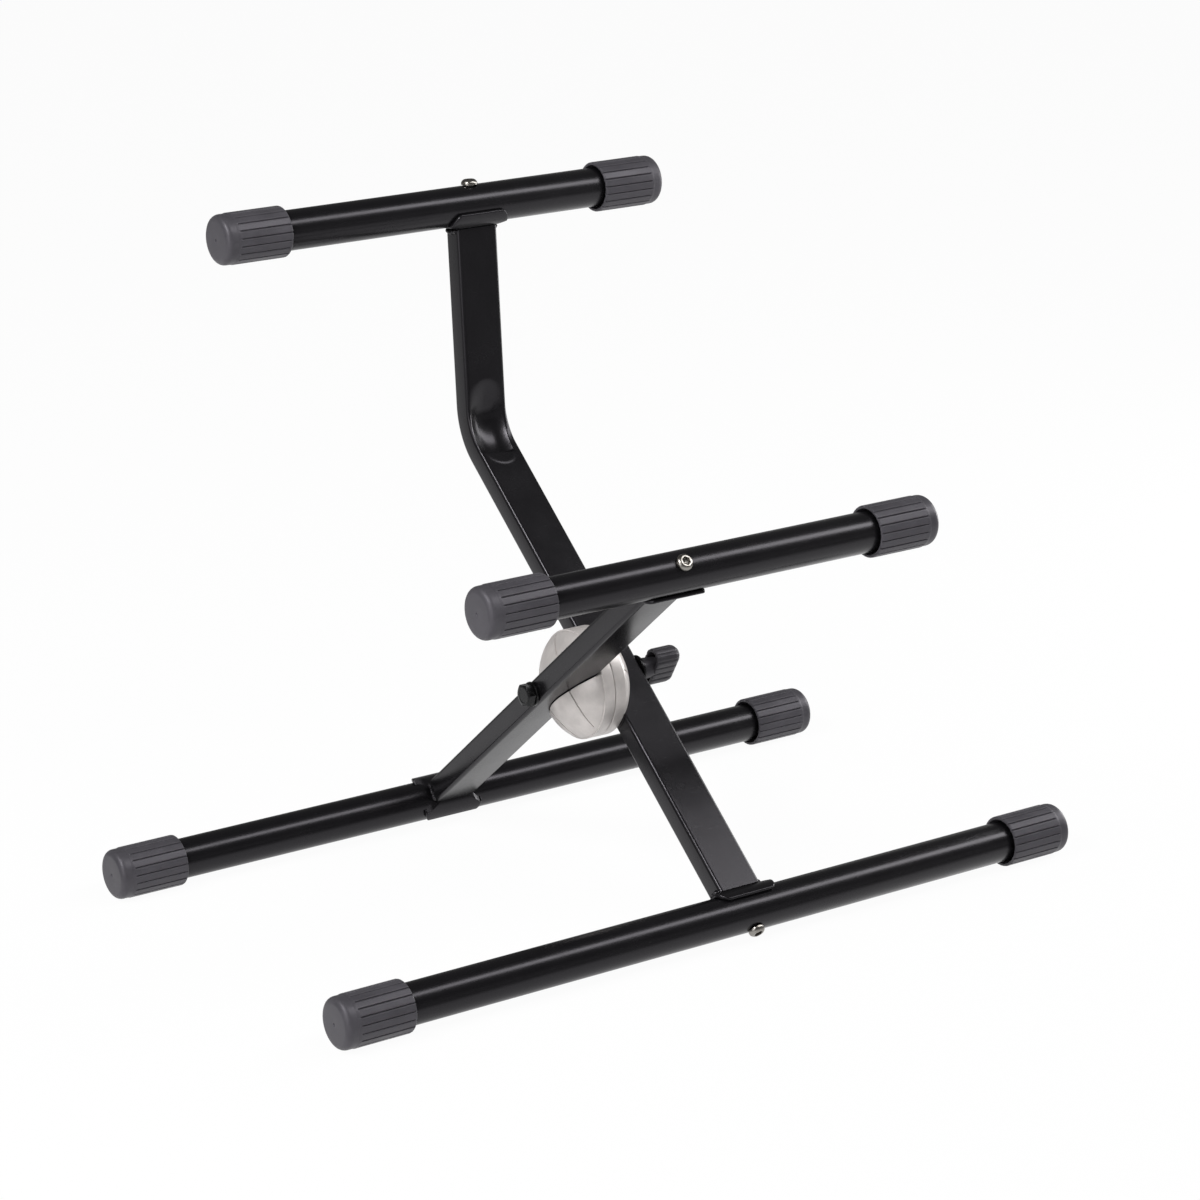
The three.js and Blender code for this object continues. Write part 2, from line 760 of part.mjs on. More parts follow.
function rearFrame() {
  const turn = shortArmAngle - Math.PI / 2
  const group = new THREE.Group()
  group.position.set(0, jointY - originY, jointZ)
  group.rotation.x = turn
  group.add(piece('short_arm', shortArm(), blackPaint))
  group.add(piece('short_arm_sleeve', armSleeve(shortArmX), zincSteel))
  const rear = { y: 0, z: -shortArmLower, turn: 0 }
  group.add(crossbar('rear_base', baseTubeLength, shortArmX, turn, rear))
  const middle = { y: 0, z: shortArmUpper, turn: Math.PI }
  group.add(crossbar('middle_rest', restTubeLength, shortArmX, turn, middle))
  const half = jointHalf(leftRimX - shortArmInnerX, springSeatDepth, 0)
  const mesh = piece('joint_half_left', half, castAluminium)
  mesh.rotation.y = Math.PI
  mesh.position.x = leftRimX
  group.add(mesh)
  const headX = shortArmOuterX - washerThickness - seatGap
  const bolt = clampBolt(headX - seatGap, knobX + insertLength - boltTipGap)
  group.add(piece('clamp_bolt', bolt, blackSteel))
  group.add(piece('bolt_washer', washer(boltWasherDiameter, headX), blackSteel))
  const springFrom = leftRimX - springSeatDepth + seatGap
  const springTo = rightRimX + springPocketDepth - seatGap
  group.add(piece('release_spring', releaseSpring(springFrom, springTo), brightSteel))
  return group
}

function frontFrame() {
  const turn = longArmAngle - Math.PI / 2
  const group = new THREE.Group()
  group.position.set(0, jointY - originY, jointZ)
  group.rotation.x = turn
  group.add(piece('long_arm', longArm(), blackPaint))
  group.add(piece('long_arm_sleeve', armSleeve(longArmX), zincSteel))
  const front = { y: 0, z: -longArmLower, turn: 0 }
  group.add(crossbar('front_base', baseTubeLength, longArmX, turn, front))
  const top = {
    y: -longArmPost * Math.sin(postBendAngle),
    z: longArmToBend + longArmPost * Math.cos(postBendAngle),
    turn: Math.PI + postBendAngle,
  }
  group.add(crossbar('top_rest', restTubeLength, longArmX, turn, top))
  const meshPhase = ((shortArmAngle - longArmAngle) * toothCount) / Math.PI + 1
  const half = jointHalf(longArmInnerX - rightRimX, springPocketDepth, meshPhase)
  const mesh = piece('joint_half_right', half, castAluminium)
  mesh.position.x = rightRimX
  group.add(mesh)
  const knobWasher = washer(knobWasherDiameter, longArmOuterX + seatGap / 2)
  group.add(piece('knob_washer', knobWasher, blackSteel))
  return group
}

function knobGroup() {
  const group = new THREE.Group()
  group.position.set(knobX, jointY - originY, jointZ)
  group.rotation.x = knobTilt
  group.add(piece('clamp_knob', clampKnob(), blackPlastic))
  group.add(piece('knob_insert', knobInsert(), zincSteel))
  return group
}

const stand = new THREE.Group()
stand.add(frontFrame(), rearFrame(), knobGroup())

export default stand
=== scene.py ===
import math

import bpy
import numpy as np
from mathutils import Matrix


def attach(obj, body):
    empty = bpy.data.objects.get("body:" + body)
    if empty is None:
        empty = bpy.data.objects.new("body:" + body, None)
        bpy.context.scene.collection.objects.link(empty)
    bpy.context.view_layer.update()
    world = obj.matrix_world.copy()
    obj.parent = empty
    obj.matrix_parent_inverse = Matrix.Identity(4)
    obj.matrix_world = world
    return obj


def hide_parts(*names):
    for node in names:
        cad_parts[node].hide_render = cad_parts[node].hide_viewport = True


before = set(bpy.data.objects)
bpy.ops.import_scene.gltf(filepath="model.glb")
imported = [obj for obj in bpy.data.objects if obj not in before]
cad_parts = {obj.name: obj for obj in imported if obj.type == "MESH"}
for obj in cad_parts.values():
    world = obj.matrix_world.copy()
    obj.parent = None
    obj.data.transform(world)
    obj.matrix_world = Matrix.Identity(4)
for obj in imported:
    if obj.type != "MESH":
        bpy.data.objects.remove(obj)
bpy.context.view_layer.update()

print("frame loaded")

# Folding amplifier stand. Shapes are worked out in millimetres and turned into
# place just before they become meshes; X runs along the bars, -Y faces the player.

bars = {
    "tubeDiameter": 25.4,
    "tubeWall": 1.5,
    "baseLength": 530.0,
    "restLength": 318.0,
    "seatGap": 0.3,
    "endRounding": 0.4,
}

cap = {
    "wall": 3.2,
    "endWall": 4.0,
    "length": 46.0,
    "noseLength": 9.0,
    "noseStep": 0.35,
    "noseRounding": 4.2,
    "rimRounding": 1.0,
    "mouthFlare": 1.4,
    "mouthDepth": 4.5,
    "ribs": 20,
    "landShare": 0.62,
    "grooveDepth": 0.85,
    "grooveHalf": 0.62,
    "dimpleRadius": 1.1,
    "dimpleDepth": 0.6,
}

layout = {
    "baseSpread": 270.5,
    "shortArmLower": 173.1,
    "shortArmUpper": 168.4,
    "longArmLower": 178.9,
    "longArmToBend": 196.5,
    "longArmPost": 148.1,
    "postBend": math.radians(46.5),
    "bendRadius": 42.0,
    "shortArmX": -25.8,
    "longArmX": 22.0,
    "partingX": -2.5,
    "clutchGap": 1.1,
    "knobTilt": math.radians(30.0),
}

tubeRadius = bars["tubeDiameter"] / 2
capRadius = tubeRadius + bars["seatGap"] + cap["wall"]
ribPitch = 2 * math.pi / cap["ribs"]
capFlat = capRadius * math.cos(ribPitch * cap["landShare"] / 2)

# the joint stands where both base bars rest on the floor
jointY = (layout["longArmLower"] ** 2 - layout["shortArmLower"] ** 2) / (2 * layout["baseSpread"])
jointZ = capFlat + math.sqrt(layout["longArmLower"] ** 2 - (jointY + layout["baseSpread"] / 2) ** 2)
shortArmLean = math.atan2(jointZ - capFlat, jointY - layout["baseSpread"] / 2)
longArmLean = math.atan2(jointZ - capFlat, jointY + layout["baseSpread"] / 2)
postLean = longArmLean + layout["postBend"]
topBarY = (jointY + layout["longArmToBend"] * math.cos(longArmLean)
           + layout["longArmPost"] * math.cos(postLean))
originY = (topBarY + capRadius - (layout["baseSpread"] / 2 + capRadius)) / 2

rearPlace = {"turn": shortArmLean - math.pi / 2, "x": 0.0, "y": jointY - originY, "z": jointZ}
frontPlace = {"turn": longArmLean - math.pi / 2, "x": 0.0, "y": jointY - originY, "z": jointZ}


# points turned about X by the place's turn, then shifted to the place
def placed(points, place):
    cosine, sine = math.cos(place["turn"]), math.sin(place["turn"])
    x, y, z = points[..., 0], points[..., 1], points[..., 2]
    return np.stack([x + place["x"], y * cosine - z * sine + place["y"],
                     y * sine + z * cosine + place["z"]], -1)


# a place inside a body's own frame, given in the world
def placeOn(body, turn, y, z, x=0.0):
    spot = placed(np.array([x, y, z]), body)
    return {"turn": body["turn"] + turn, "x": spot[0], "y": spot[1], "z": spot[2]}


# polyline of [x, y, rounding] with each corner replaced by an arc tangent to both sides
def rounded(corners, steps=5, closed=False):
    points = []
    count = len(corners)
    for i, (x, y, radius) in enumerate(corners):
        here = np.array([x, y], float)
        if radius == 0 or (not closed and i in (0, count - 1)):
            points.append(here[None])
            continue
        before = np.array(corners[i - 1][:2], float) - here
        after = np.array(corners[(i + 1) % count][:2], float) - here
        before, after = before / np.linalg.norm(before), after / np.linalg.norm(after)
        half = math.acos(np.clip(before @ after, -1, 1)) / 2
        middle = (before + after) / np.linalg.norm(before + after)
        centre = here + middle * radius / math.sin(half)
        first = here + before * radius / math.tan(half) - centre
        last = here + after * radius / math.tan(half) - centre
        swing = math.pi - 2 * half
        t = np.linspace(0, 1, steps + 1)[:, None]
        arc = (np.sin((1 - t) * swing) * first + np.sin(t * swing) * last) / math.sin(swing)
        points.append(centre + arc)
    return np.concatenate(points)


# a grid of points (rows, columns, 3) as a closed skin: closed round its columns, and
# either joined from the last row to the first or closed to a point at both ends
def skin(grid, joinRows=False):
    rows, columns = grid.shape[:2]
    row = np.arange(rows if joinRows else rows - 1)[:, None]
    column = np.arange(columns)[None, :]
    beside = (column + 1) % columns
    below = (row + 1) % rows
    quads = np.stack([row * columns + column, row * columns + beside,
                      below * columns + beside, below * columns + column], -1).reshape(-1, 4)
    points = grid.reshape(-1, 3)
    faces = quads.tolist()
    if not joinRows:
        poles = np.stack([grid[0].mean(0), grid[-1].mean(0)])
        first, last = len(points), len(points) + 1
        points = np.concatenate([points, poles])
        ring = np.arange(columns)
        top = np.stack([np.full(columns, first), np.roll(ring, -1), ring], -1)
        end = (rows - 1) * columns
        bottom = np.stack([np.full(columns, last), end + ring, end + np.roll(ring, -1)], -1)
        faces += top.tolist() + bottom.tolist()
    return outward(points, faces)


# faces turned round where the skin's signed volume is negative
def outward(points, faces):
    corners = np.array([face[:3] for face in faces])
    others = np.array([[face[0], face[2], face[-1]] for face in faces])
    volume = 0.0
    for triangles in (corners, others):
        a, b, c = (points[triangles[:, k]] for k in range(3))
        volume += np.einsum("ij,ij->i", a, np.cross(b, c)).sum()
    if volume < 0:
        faces = [face[::-1] for face in faces]
    return points, faces


# a profile of [x, radius] carried round the X axis
def turnedX(profile, segments, joinRows=False):
    angle = np.linspace(0, 2 * math.pi, segments, endpoint=False)
    x = np.repeat(profile[:, :1], segments, 1)
    radius = np.maximum(profile[:, 1:], 1e-3)
    return skin(np.stack([x, radius * np.cos(angle), radius * np.sin(angle)], -1), joinRows)


# the points of a skin, moved into place
def moved(shape, place):
    return placed(shape[0], place), shape[1]


def meshOf(name, shapes, sharpAngle=32.0, scale=0.001):
    points, faces, start = [], [], 0
    for shapePoints, shapeFaces in shapes:
        points.append(shapePoints)
        faces += [[start + i for i in face] for face in shapeFaces]
        start += len(shapePoints)
    mesh = bpy.data.meshes.new(name)
    mesh.from_pydata((np.concatenate(points) * scale).tolist(), [], faces)
    mesh.polygons.foreach_set("use_smooth", [True] * len(mesh.polygons))
    mesh.set_sharp_from_angle(angle=math.radians(sharpAngle))
    mesh.update()
    return mesh


def dress(name, mesh, body, finish, nodes=()):
    piece = bpy.data.objects.new(name, mesh)
    bpy.context.scene.collection.objects.link(piece)
    mesh.materials.clear()
    mesh.materials.append(finish["material"])
    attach(piece, body)
    if nodes:
        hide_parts(*nodes)
    return piece


# closed outline of a rounded rectangle as (n, 2), with extra points on its long sides
def sectionOutline(width, height, radius, cornerSteps=6, faceSteps=1):
    turns = np.linspace(0, math.pi / 2, cornerSteps + 1)
    points = []
    for quarter in range(4):
        signX = 1 if quarter in (0, 3) else -1
        signY = 1 if quarter < 2 else -1
        angle = turns + quarter * math.pi / 2
        corner = np.stack([signX * (width / 2 - radius) + radius * np.cos(angle),
                           signY * (height / 2 - radius) + radius * np.sin(angle)], -1)
        points.append(corner)
        if faceSteps > 1 and quarter in (0, 2):
            nextX = -corner[-1, 0]
            share = np.linspace(0, 1, faceSteps + 1)[1:-1, None]
            there = np.array([nextX, corner[-1, 1]])
            points.append(corner[-1] + share * (there - corner[-1]))
    return np.concatenate(points)


# a socket that takes part in Python arithmetic by adding Math nodes
class Signal:
    def __init__(self, sheet, socket):
        self.sheet = sheet
        self.socket = socket

    def withOther(self, operation, first, second):
        return self.sheet.node("ShaderNodeMath", {"operation": operation}, {0: first, 1: second})

    def __add__(self, other):
        return self.withOther("ADD", self, other)

    def __radd__(self, other):
        return self.withOther("ADD", other, self)

    def __sub__(self, other):
        return self.withOther("SUBTRACT", self, other)

    def __rsub__(self, other):
        return self.withOther("SUBTRACT", other, self)

    def __mul__(self, other):
        return self.withOther("MULTIPLY", self, other)

    def __rmul__(self, other):
        return self.withOther("MULTIPLY", other, self)


class Sheet:
    def __init__(self, tree):
        self.tree = tree
        tree.nodes.clear()

    # a node of the given type: its settings first, then its sockets' values or links
    def node(self, kind, settings=None, sockets=None, output=0):
        made = self.tree.nodes.new(kind)
        for key, value in (settings or {}).items():
            if key == "stops":
                ramp = made.color_ramp
                while len(ramp.elements) < len(value):
                    ramp.elements.new(0.5)
                for element, (position, colour) in zip(ramp.elements, value):
                    element.position = position
                    element.color = colour
            else:
                setattr(made, key, value)
        for key, value in (sockets or {}).items():
            if isinstance(value, Signal):
                self.tree.links.new(value.socket, made.inputs[key])
            else:
                made.inputs[key].default_value = value
        return Signal(self, made.outputs[output])

    # a value pulled from one range into another, held at its ends
    def spread(self, value, low, high, toLow=0.0, toHigh=1.0):
        return self.node("ShaderNodeMapRange", {"clamp": True},
                         {"Value": value, "From Min": low, "From Max": high,
                          "To Min": toLow, "To Max": toHigh})

    # two colours mixed by a value
    def tint(self, amount, first, second):
        return self.node("ShaderNodeMix", {"data_type": "RGBA"},
                         {0: amount, 6: first, 7: second}, 2)

    def noise(self, place, scale, detail=3.0, roughness=0.5):
        return self.node("ShaderNodeTexNoise", None,
                         {"Vector": place, "Scale": scale, "Detail": detail,
                          "Roughness": roughness})


def grey(level, warm=0.0):
    return (level * (1 + warm), level, level * (1 - warm), 1.0)


# a black with the faint violet cast of dark paint and rubber
def sooty(level):
    return (level * 1.05, level, level * 1.14, 1.0)


sootySheen = (0.96, 0.92, 1.0, 1.0)


# a Principled surface whose colour, roughness and bump come from its own pattern
def finishOf(name, slot, constants, pattern):
    material = bpy.data.materials.new(name)
    material.use_nodes = True
    sheet = Sheet(material.node_tree)
    place = sheet.node("ShaderNodeTexCoord", None, None, "Object")
    surface = pattern(sheet, place)
    height, strength, distance = surface.pop("bump")
    normal = sheet.node("ShaderNodeBump", None,
                        {"Height": height, "Strength": strength, "Distance": distance})
    sockets = {"Normal": normal}
    sockets.update(constants)
    sockets.update(surface)
    shader = sheet.node("ShaderNodeBsdfPrincipled", None, sockets)
    output = sheet.tree.nodes.new("ShaderNodeOutputMaterial")
    sheet.tree.links.new(shader.socket, output.inputs["Surface"])
    return {"material": material, "slot": slot}


paintLook = {
    "base": 0.0038,
    "dusty": 0.0058,
    "roughness": 0.22,
    "uneven": 0.06,
    "peelScale": 520.0,
    "peelDepth": 0.00003,
}


# satin powder coat: a fine orange peel, soft patches of gloss and thin handling marks
def paintPattern(sheet, place):
    peel = sheet.noise(place, paintLook["peelScale"], 2.0)
    patches = sheet.noise(place, 38.0, 4.0, 0.6)
    stretched = sheet.node("ShaderNodeMapping", None, {"Vector": place, "Scale": (1.0, 9.0, 9.0)})
    marks = sheet.spread(sheet.noise(stretched, 90.0, 5.0, 0.7), 0.62, 0.72)
    return {
        "Base Color": sheet.tint(patches, sooty(paintLook["base"]), sooty(paintLook["dusty"])),
        "Roughness": sheet.spread(patches, 0.3, 0.7, paintLook["roughness"],
                                  paintLook["roughness"] + paintLook["uneven"]) + marks * 0.05,
        "bump": (peel + patches * 0.4, 0.35, paintLook["peelDepth"]),
    }


rubberLook = {
    "base": 0.048,
    "worn": 0.07,
    "roughness": 0.42,
    "grainScale": 1400.0,
    "grainDepth": 0.00006,
}


# moulded rubber: fine grain, a dull bloom in patches and pale scuffs where it rubs
def rubberPattern(sheet, place):
    grain = sheet.noise(place, rubberLook["grainScale"], 3.0, 0.6)
    bloom = sheet.noise(place, 60.0, 5.0, 0.65)
    scuffs = sheet.spread(sheet.noise(place, 210.0, 4.0, 0.75), 0.6, 0.75)
    return {
        "Base Color": sheet.tint(sheet.spread(bloom, 0.35, 0.75) * 0.7 + scuffs * 0.3,
                                 sooty(rubberLook["base"]), sooty(rubberLook["worn"])),
        "Roughness": sheet.spread(bloom, 0.3, 0.7, rubberLook["roughness"] - 0.06,
                                  rubberLook["roughness"] + 0.1),
        "bump": (grain + scuffs * 0.3, 0.5, rubberLook["grainDepth"]),
    }


castLook = {
    "base": (0.66, 0.62, 0.60, 1.0),
    "shade": (0.52, 0.49, 0.475, 1.0),
    "roughness": 0.36,
    "lathePitch": 1500.0,
    "speckleDepth": 0.00008,
}


# silver cast metal: faint turned rings round the joint's axis and a fine sand grain
def castPattern(sheet, place):
    rings = sheet.node("ShaderNodeTexWave", {"bands_direction": "X"},
                       {"Vector": place, "Scale": castLook["lathePitch"] / math.tau,
                        "Distortion": 0.6, "Detail": 2.0, "Detail Scale": 3.0})
    grain = sheet.noise(place, 1700.0, 2.0, 0.6)
    stain = sheet.noise(place, 75.0, 5.0, 0.6)
    return {
        "Base Color": sheet.tint(sheet.spread(stain, 0.35, 0.7),
                                 castLook["base"], castLook["shade"]),
        "Roughness": sheet.spread(stain, 0.3, 0.7, castLook["roughness"] - 0.04,
                                  castLook["roughness"] + 0.09) + grain * 0.04,
        "bump": (rings * 0.25 + grain * 0.6, 0.3, castLook["speckleDepth"]),
    }


brightLook = {
    "base": (0.30, 0.285, 0.265, 1.0),
    "tarnish": (0.20, 0.18, 0.155, 1.0),
    "roughness": 0.2,
    "uneven": 0.16,
}


# nickel plate: a slightly warm polish with tarnish and hairline turning marks
def brightPattern(sheet, place):
    tarnish = sheet.noise(place, 260.0, 5.0, 0.65)
    squeezed = sheet.node("ShaderNodeMapping", None, {"Vector": place, "Scale": (6.0, 1.0, 1.0)})
    hair = sheet.noise(squeezed, 900.0, 2.0)
    return {
        "Base Color": sheet.tint(sheet.spread(tarnish, 0.45, 0.75),
                                 brightLook["base"], brightLook["tarnish"]),
        "Roughness": sheet.spread(tarnish, 0.3, 0.75, brightLook["roughness"],
                                  brightLook["roughness"] + brightLook["uneven"]),
        "bump": (hair, 0.15, 0.00003),
    }


darkSteelLook = {
    "base": (0.02, 0.02, 0.021, 1.0),
    "rubbed": (0.1, 0.098, 0.095, 1.0),
    "roughness": 0.17,
    "uneven": 0.2,
}


# black oxide: dark, oiled, rubbed paler in small spots
def darkSteelPattern(sheet, place):
    rubbed = sheet.noise(place, 420.0, 5.0, 0.7)
    return {
        "Base Color": sheet.tint(sheet.spread(rubbed, 0.58, 0.8),
                                 darkSteelLook["base"], darkSteelLook["rubbed"]),
        "Roughness": sheet.spread(rubbed, 0.3, 0.8, darkSteelLook["roughness"],
                                  darkSteelLook["roughness"] + darkSteelLook["uneven"]),
        "bump": (rubbed, 0.25, 0.00004),
    }


plasticLook = {
    "base": 0.026,
    "worn": 0.035,
    "roughness": 0.34,
    "uneven": 0.14,
    "grainScale": 2300.0,
}


# moulded plastic: a fine spark-eroded grain, polished by fingers in places
def plasticPattern(sheet, place):
    grain = sheet.noise(place, plasticLook["grainScale"], 2.0)
    handled = sheet.noise(place, 130.0, 4.0, 0.6)
    return {
        "Base Color": sheet.tint(sheet.spread(handled, 0.4, 0.8),
                                 sooty(plasticLook["base"]), sooty(plasticLook["worn"])),
        "Roughness": sheet.spread(handled, 0.3, 0.7, plasticLook["roughness"],
                                  plasticLook["roughness"] + plasticLook["uneven"]),
        "bump": (grain, 0.35, 0.00004),
    }


zincLook = {"base": (0.42, 0.41, 0.40, 1.0), "spangle": (0.30, 0.30, 0.31, 1.0), "roughness": 0.38}


# zinc plate: soft spangle with duller edges between the grains
def zincPattern(sheet, place):
    cells = sheet.node("ShaderNodeTexVoronoi", None, {"Vector": place, "Scale": 420.0}, "Distance")
    cloud = sheet.noise(place, 150.0, 4.0)
    return {
        "Base Color": sheet.tint(sheet.spread(cells + cloud * 0.4, 0.3, 0.9),
                                 zincLook["base"], zincLook["spangle"]),
        "Roughness": sheet.spread(cloud, 0.3, 0.7, zincLook["roughness"] - 0.05,
                                  zincLook["roughness"] + 0.12),
        "bump": (cells, 0.2, 0.00004),
    }


satinPaint = finishOf("satin_black_paint", "black_paint",
                      {"IOR": 1.4, "Specular Tint": sootySheen}, paintPattern)
ribbedRubber = finishOf("ribbed_cap_rubber", "black_rubber",
                        {"IOR": 1.45, "Specular Tint": sootySheen}, rubberPattern)
castSilver = finishOf("cast_silver", "cast_aluminium", {"Metallic": 0.35}, castPattern)
nickelPlate = finishOf("nickel_plate", "bright_steel", {"Metallic": 1.0}, brightPattern)
blackOxide = finishOf("black_oxide", "black_steel", {"Metallic": 0.85}, darkSteelPattern)
knobPlastic = finishOf("knob_plastic", "black_plastic",
                       {"IOR": 1.45, "Specular Tint": sootySheen}, plasticPattern)
zincPlate = finishOf("zinc_plate", "zinc_steel", {"Metallic": 0.9}, zincPattern)
print("finishes made")


# a straight pipe: its wall's closed profile carried round the bar
def tubeShape(length):
    half, outer = length / 2, bars["tubeDiameter"] / 2
    inner, soft = outer - bars["tubeWall"], bars["endRounding"]
    profile = rounded([[-half, outer, soft], [half, outer, soft],
                       [half, inner, soft], [-half, inner, soft]], 3, True)
    return turnedX(profile, 112, True)


# ribbed cap along +X: radius = row's radius, plus rib weight times (rib outline - full
# radius); the rib outline is a flat chord over each land, and between two lands the full
# round less a narrow groove of half a cosine's shape
def capShape(side, barX, place):
    halfPitch = ribPitch / 2
    near = np.array([0.0, 0.16, 0.32, 0.46, 0.6, 0.78]) / capRadius
    offsets = np.concatenate([near, np.linspace(halfPitch * (1 - cap["landShare"]), halfPitch, 5)])
    offsets = np.concatenate([-offsets[:0:-1], offsets[:-1]])
    grooveAngles = -math.pi / 2 + halfPitch + ribPitch * np.arange(cap["ribs"])
    angle = (grooveAngles[:, None] + offsets[None, :]).ravel()
    fromGroove = np.tile(np.abs(offsets), cap["ribs"])
    chord = capFlat / np.cos(np.clip(halfPitch - fromGroove, 0, halfPitch * cap["landShare"]))
    dip = np.clip(fromGroove * capRadius / cap["grooveHalf"], 0, 1)
    ribs = chord - cap["grooveDepth"] * (0.5 + 0.5 * np.cos(math.pi * dip)) - capRadius
    bore, length = tubeRadius + bars["seatGap"], cap["length"]
    nose, shoulder = capRadius - cap["noseStep"], length - cap["noseLength"]
    profile = rounded([
        [length - cap["endWall"], 0, 0], [length - cap["endWall"], bore, 0.8],
        [cap["mouthDepth"], bore, 2.5], [0, bore + cap["mouthFlare"], 0.35],
        [0, capRadius, cap["rimRounding"]], [shoulder - 1.1, capRadius, 0],
        [shoulder - 0.7, capRadius, 0], [shoulder - 0.3, capRadius, 0], [shoulder, capRadius, 0],
        [shoulder + 1.5, nose, 1.5], [length, nose, cap["noseRounding"]],
        [length, cap["dimpleRadius"], 0.35],
        [length - cap["dimpleDepth"], cap["dimpleRadius"] * 0.7, 0.2],
        [length - cap["dimpleDepth"], 0, 0],
    ], 7)
    x, radius = profile[:, :1], profile[:, 1:]
    onOutside = radius > bore + 0.5 * cap["wall"]
    weight = np.where(onOutside, np.clip((shoulder - x) / 1.1, 0, 1), 0)
    weight = weight * np.clip((radius - bore) / cap["wall"], 0, 1)
    carried = np.maximum(radius + weight * ribs, 1e-3)
    grid = np.stack([np.repeat(x, len(angle), 1) * side, carried * np.cos(angle),
                     carried * np.sin(angle)], -1)
    grid[..., 0] += barX
    upright = {"turn": 0.0, "x": 0.0, "y": place["y"], "z": place["z"]}
    return moved(skin(grid), upright)


saddle = {
    "thickness": 2.5,
    "length": 43.0,
    "halfAngle": {"front_base": 73.0, "top_rest": 76.0, "rear_base": 81.0, "middle_rest": 74.0},
    "cornerRadius": {"front_base": 6.0, "top_rest": 6.0, "rear_base": 3.2, "middle_rest": 4.5},
    "edge": 1.1,
    "hole": 3.3,
}
saddleInner = tubeRadius + bars["seatGap"]
saddleOuter = saddleInner + saddle["thickness"]


# outline of the saddle seen along the arm, drawn in by inset, as (x, angle round the bar)
def saddleOutline(corner, reach, inset):
    span = 2 * saddleOuter * math.sin(reach)
    outline = sectionOutline(saddle["length"] - 2 * inset, span, corner - inset, 14, 10)
    turned = np.arcsin(np.clip(outline[:, 1] / saddleOuter, -1, 1))
    return np.stack([outline[:, 0], turned * (1 - inset / (saddleOuter * reach))], -1)


# curved plate: rows run from the hole out over the outer face, round the edge and back
# over the inner face; (x, angle) is bent round the bar at the row's radius
def saddleShape(name, armX, place):
    corner, reach = saddle["cornerRadius"][name], math.radians(saddle["halfAngle"][name])
    outline = saddleOutline(corner, reach, 0.0)
    direction = np.arctan2(outline[:, 1] * saddleOuter, outline[:, 0])
    hole = saddle["hole"] * np.stack([np.cos(direction), np.sin(direction) / saddleOuter], -1)
    soft = saddle["edge"]
    rows = []
    for share in np.linspace(0, 1, 12)[:-1]:
        rows.append((hole + share * (saddleOutline(corner, reach, soft) - hole), saddleOuter))
    for turn in np.linspace(0, math.pi / 2, 6):
        inset, drop = soft * (1 - math.sin(turn)), soft * (1 - math.cos(turn))
        rows.append((saddleOutline(corner, reach, inset), saddleOuter - drop))
    for turn in np.linspace(math.pi / 2, 0, 4):
        inset, rise = soft * 0.5 * (1 - math.sin(turn)), soft * 0.5 * (1 - math.cos(turn))
        rows.append((saddleOutline(corner, reach, inset), saddleInner + rise))
    for share in np.linspace(1, 0, 12)[1:]:
        rows.append((hole + share * (saddleOutline(corner, reach, soft * 0.5) - hole), saddleInner))
    flat = np.stack([row[0] for row in rows])
    radius = np.array([row[1] for row in rows])[:, None]
    grid = np.stack([flat[..., 0] + armX, radius * np.sin(flat[..., 1]),
                     radius * np.cos(flat[..., 1])], -1)
    return moved(skin(grid, True), place)


weld = {"radius": 1.9, "lumps": 0.35, "reach": 6.6, "sink": 0.5}


# weld bead: a lumpy round bar that follows the saddle's curve beside the arm's narrow side
def weldShapes(armX, place, seed):
    shapes = []
    for side in (-1, 1):
        t = np.linspace(-1, 1, 90)[:, None]
        around = np.linspace(0, 2 * math.pi, 24, endpoint=False)[None, :]
        y = t * weld["reach"]
        height = np.sqrt((saddleOuter + weld["sink"]) ** 2 - y ** 2)
        lump = 1 + weld["lumps"] * (0.5 * np.sin(9.5 * t + seed + side)
                                    + 0.3 * np.sin(21 * t + 2 * seed)
                                    + 0.2 * np.sin(4 * t + 3 * around))
        radius = weld["radius"] * lump * np.sqrt(np.clip(1 - np.abs(t) ** 5, 1e-4, 1))
        x = armX + side * (armSection["width"] / 2 - 0.2) + radius * np.cos(around)
        grid = np.stack([x, y + 0 * around, height + radius * np.sin(around) * 0.8], -1)
        shapes.append(moved(skin(grid), place))
    return shapes


screw = {
    "headDiameter": 10.5,
    "headHeight": 3.3,
    "socketWidth": 5.0,
    "socketDepth": 2.2,
    "socketPoint": 1.0,
    "band": 0.7,
    "shank": 6.0,
    "tip": 29.5,
    "segments": 96,
}


# radius of a regular hexagon of the given width across flats, at each angle
def hexagon(acrossFlats, angle):
    return acrossFlats / 2 / np.cos((angle + math.pi / 6) % (math.pi / 3) - math.pi / 6)


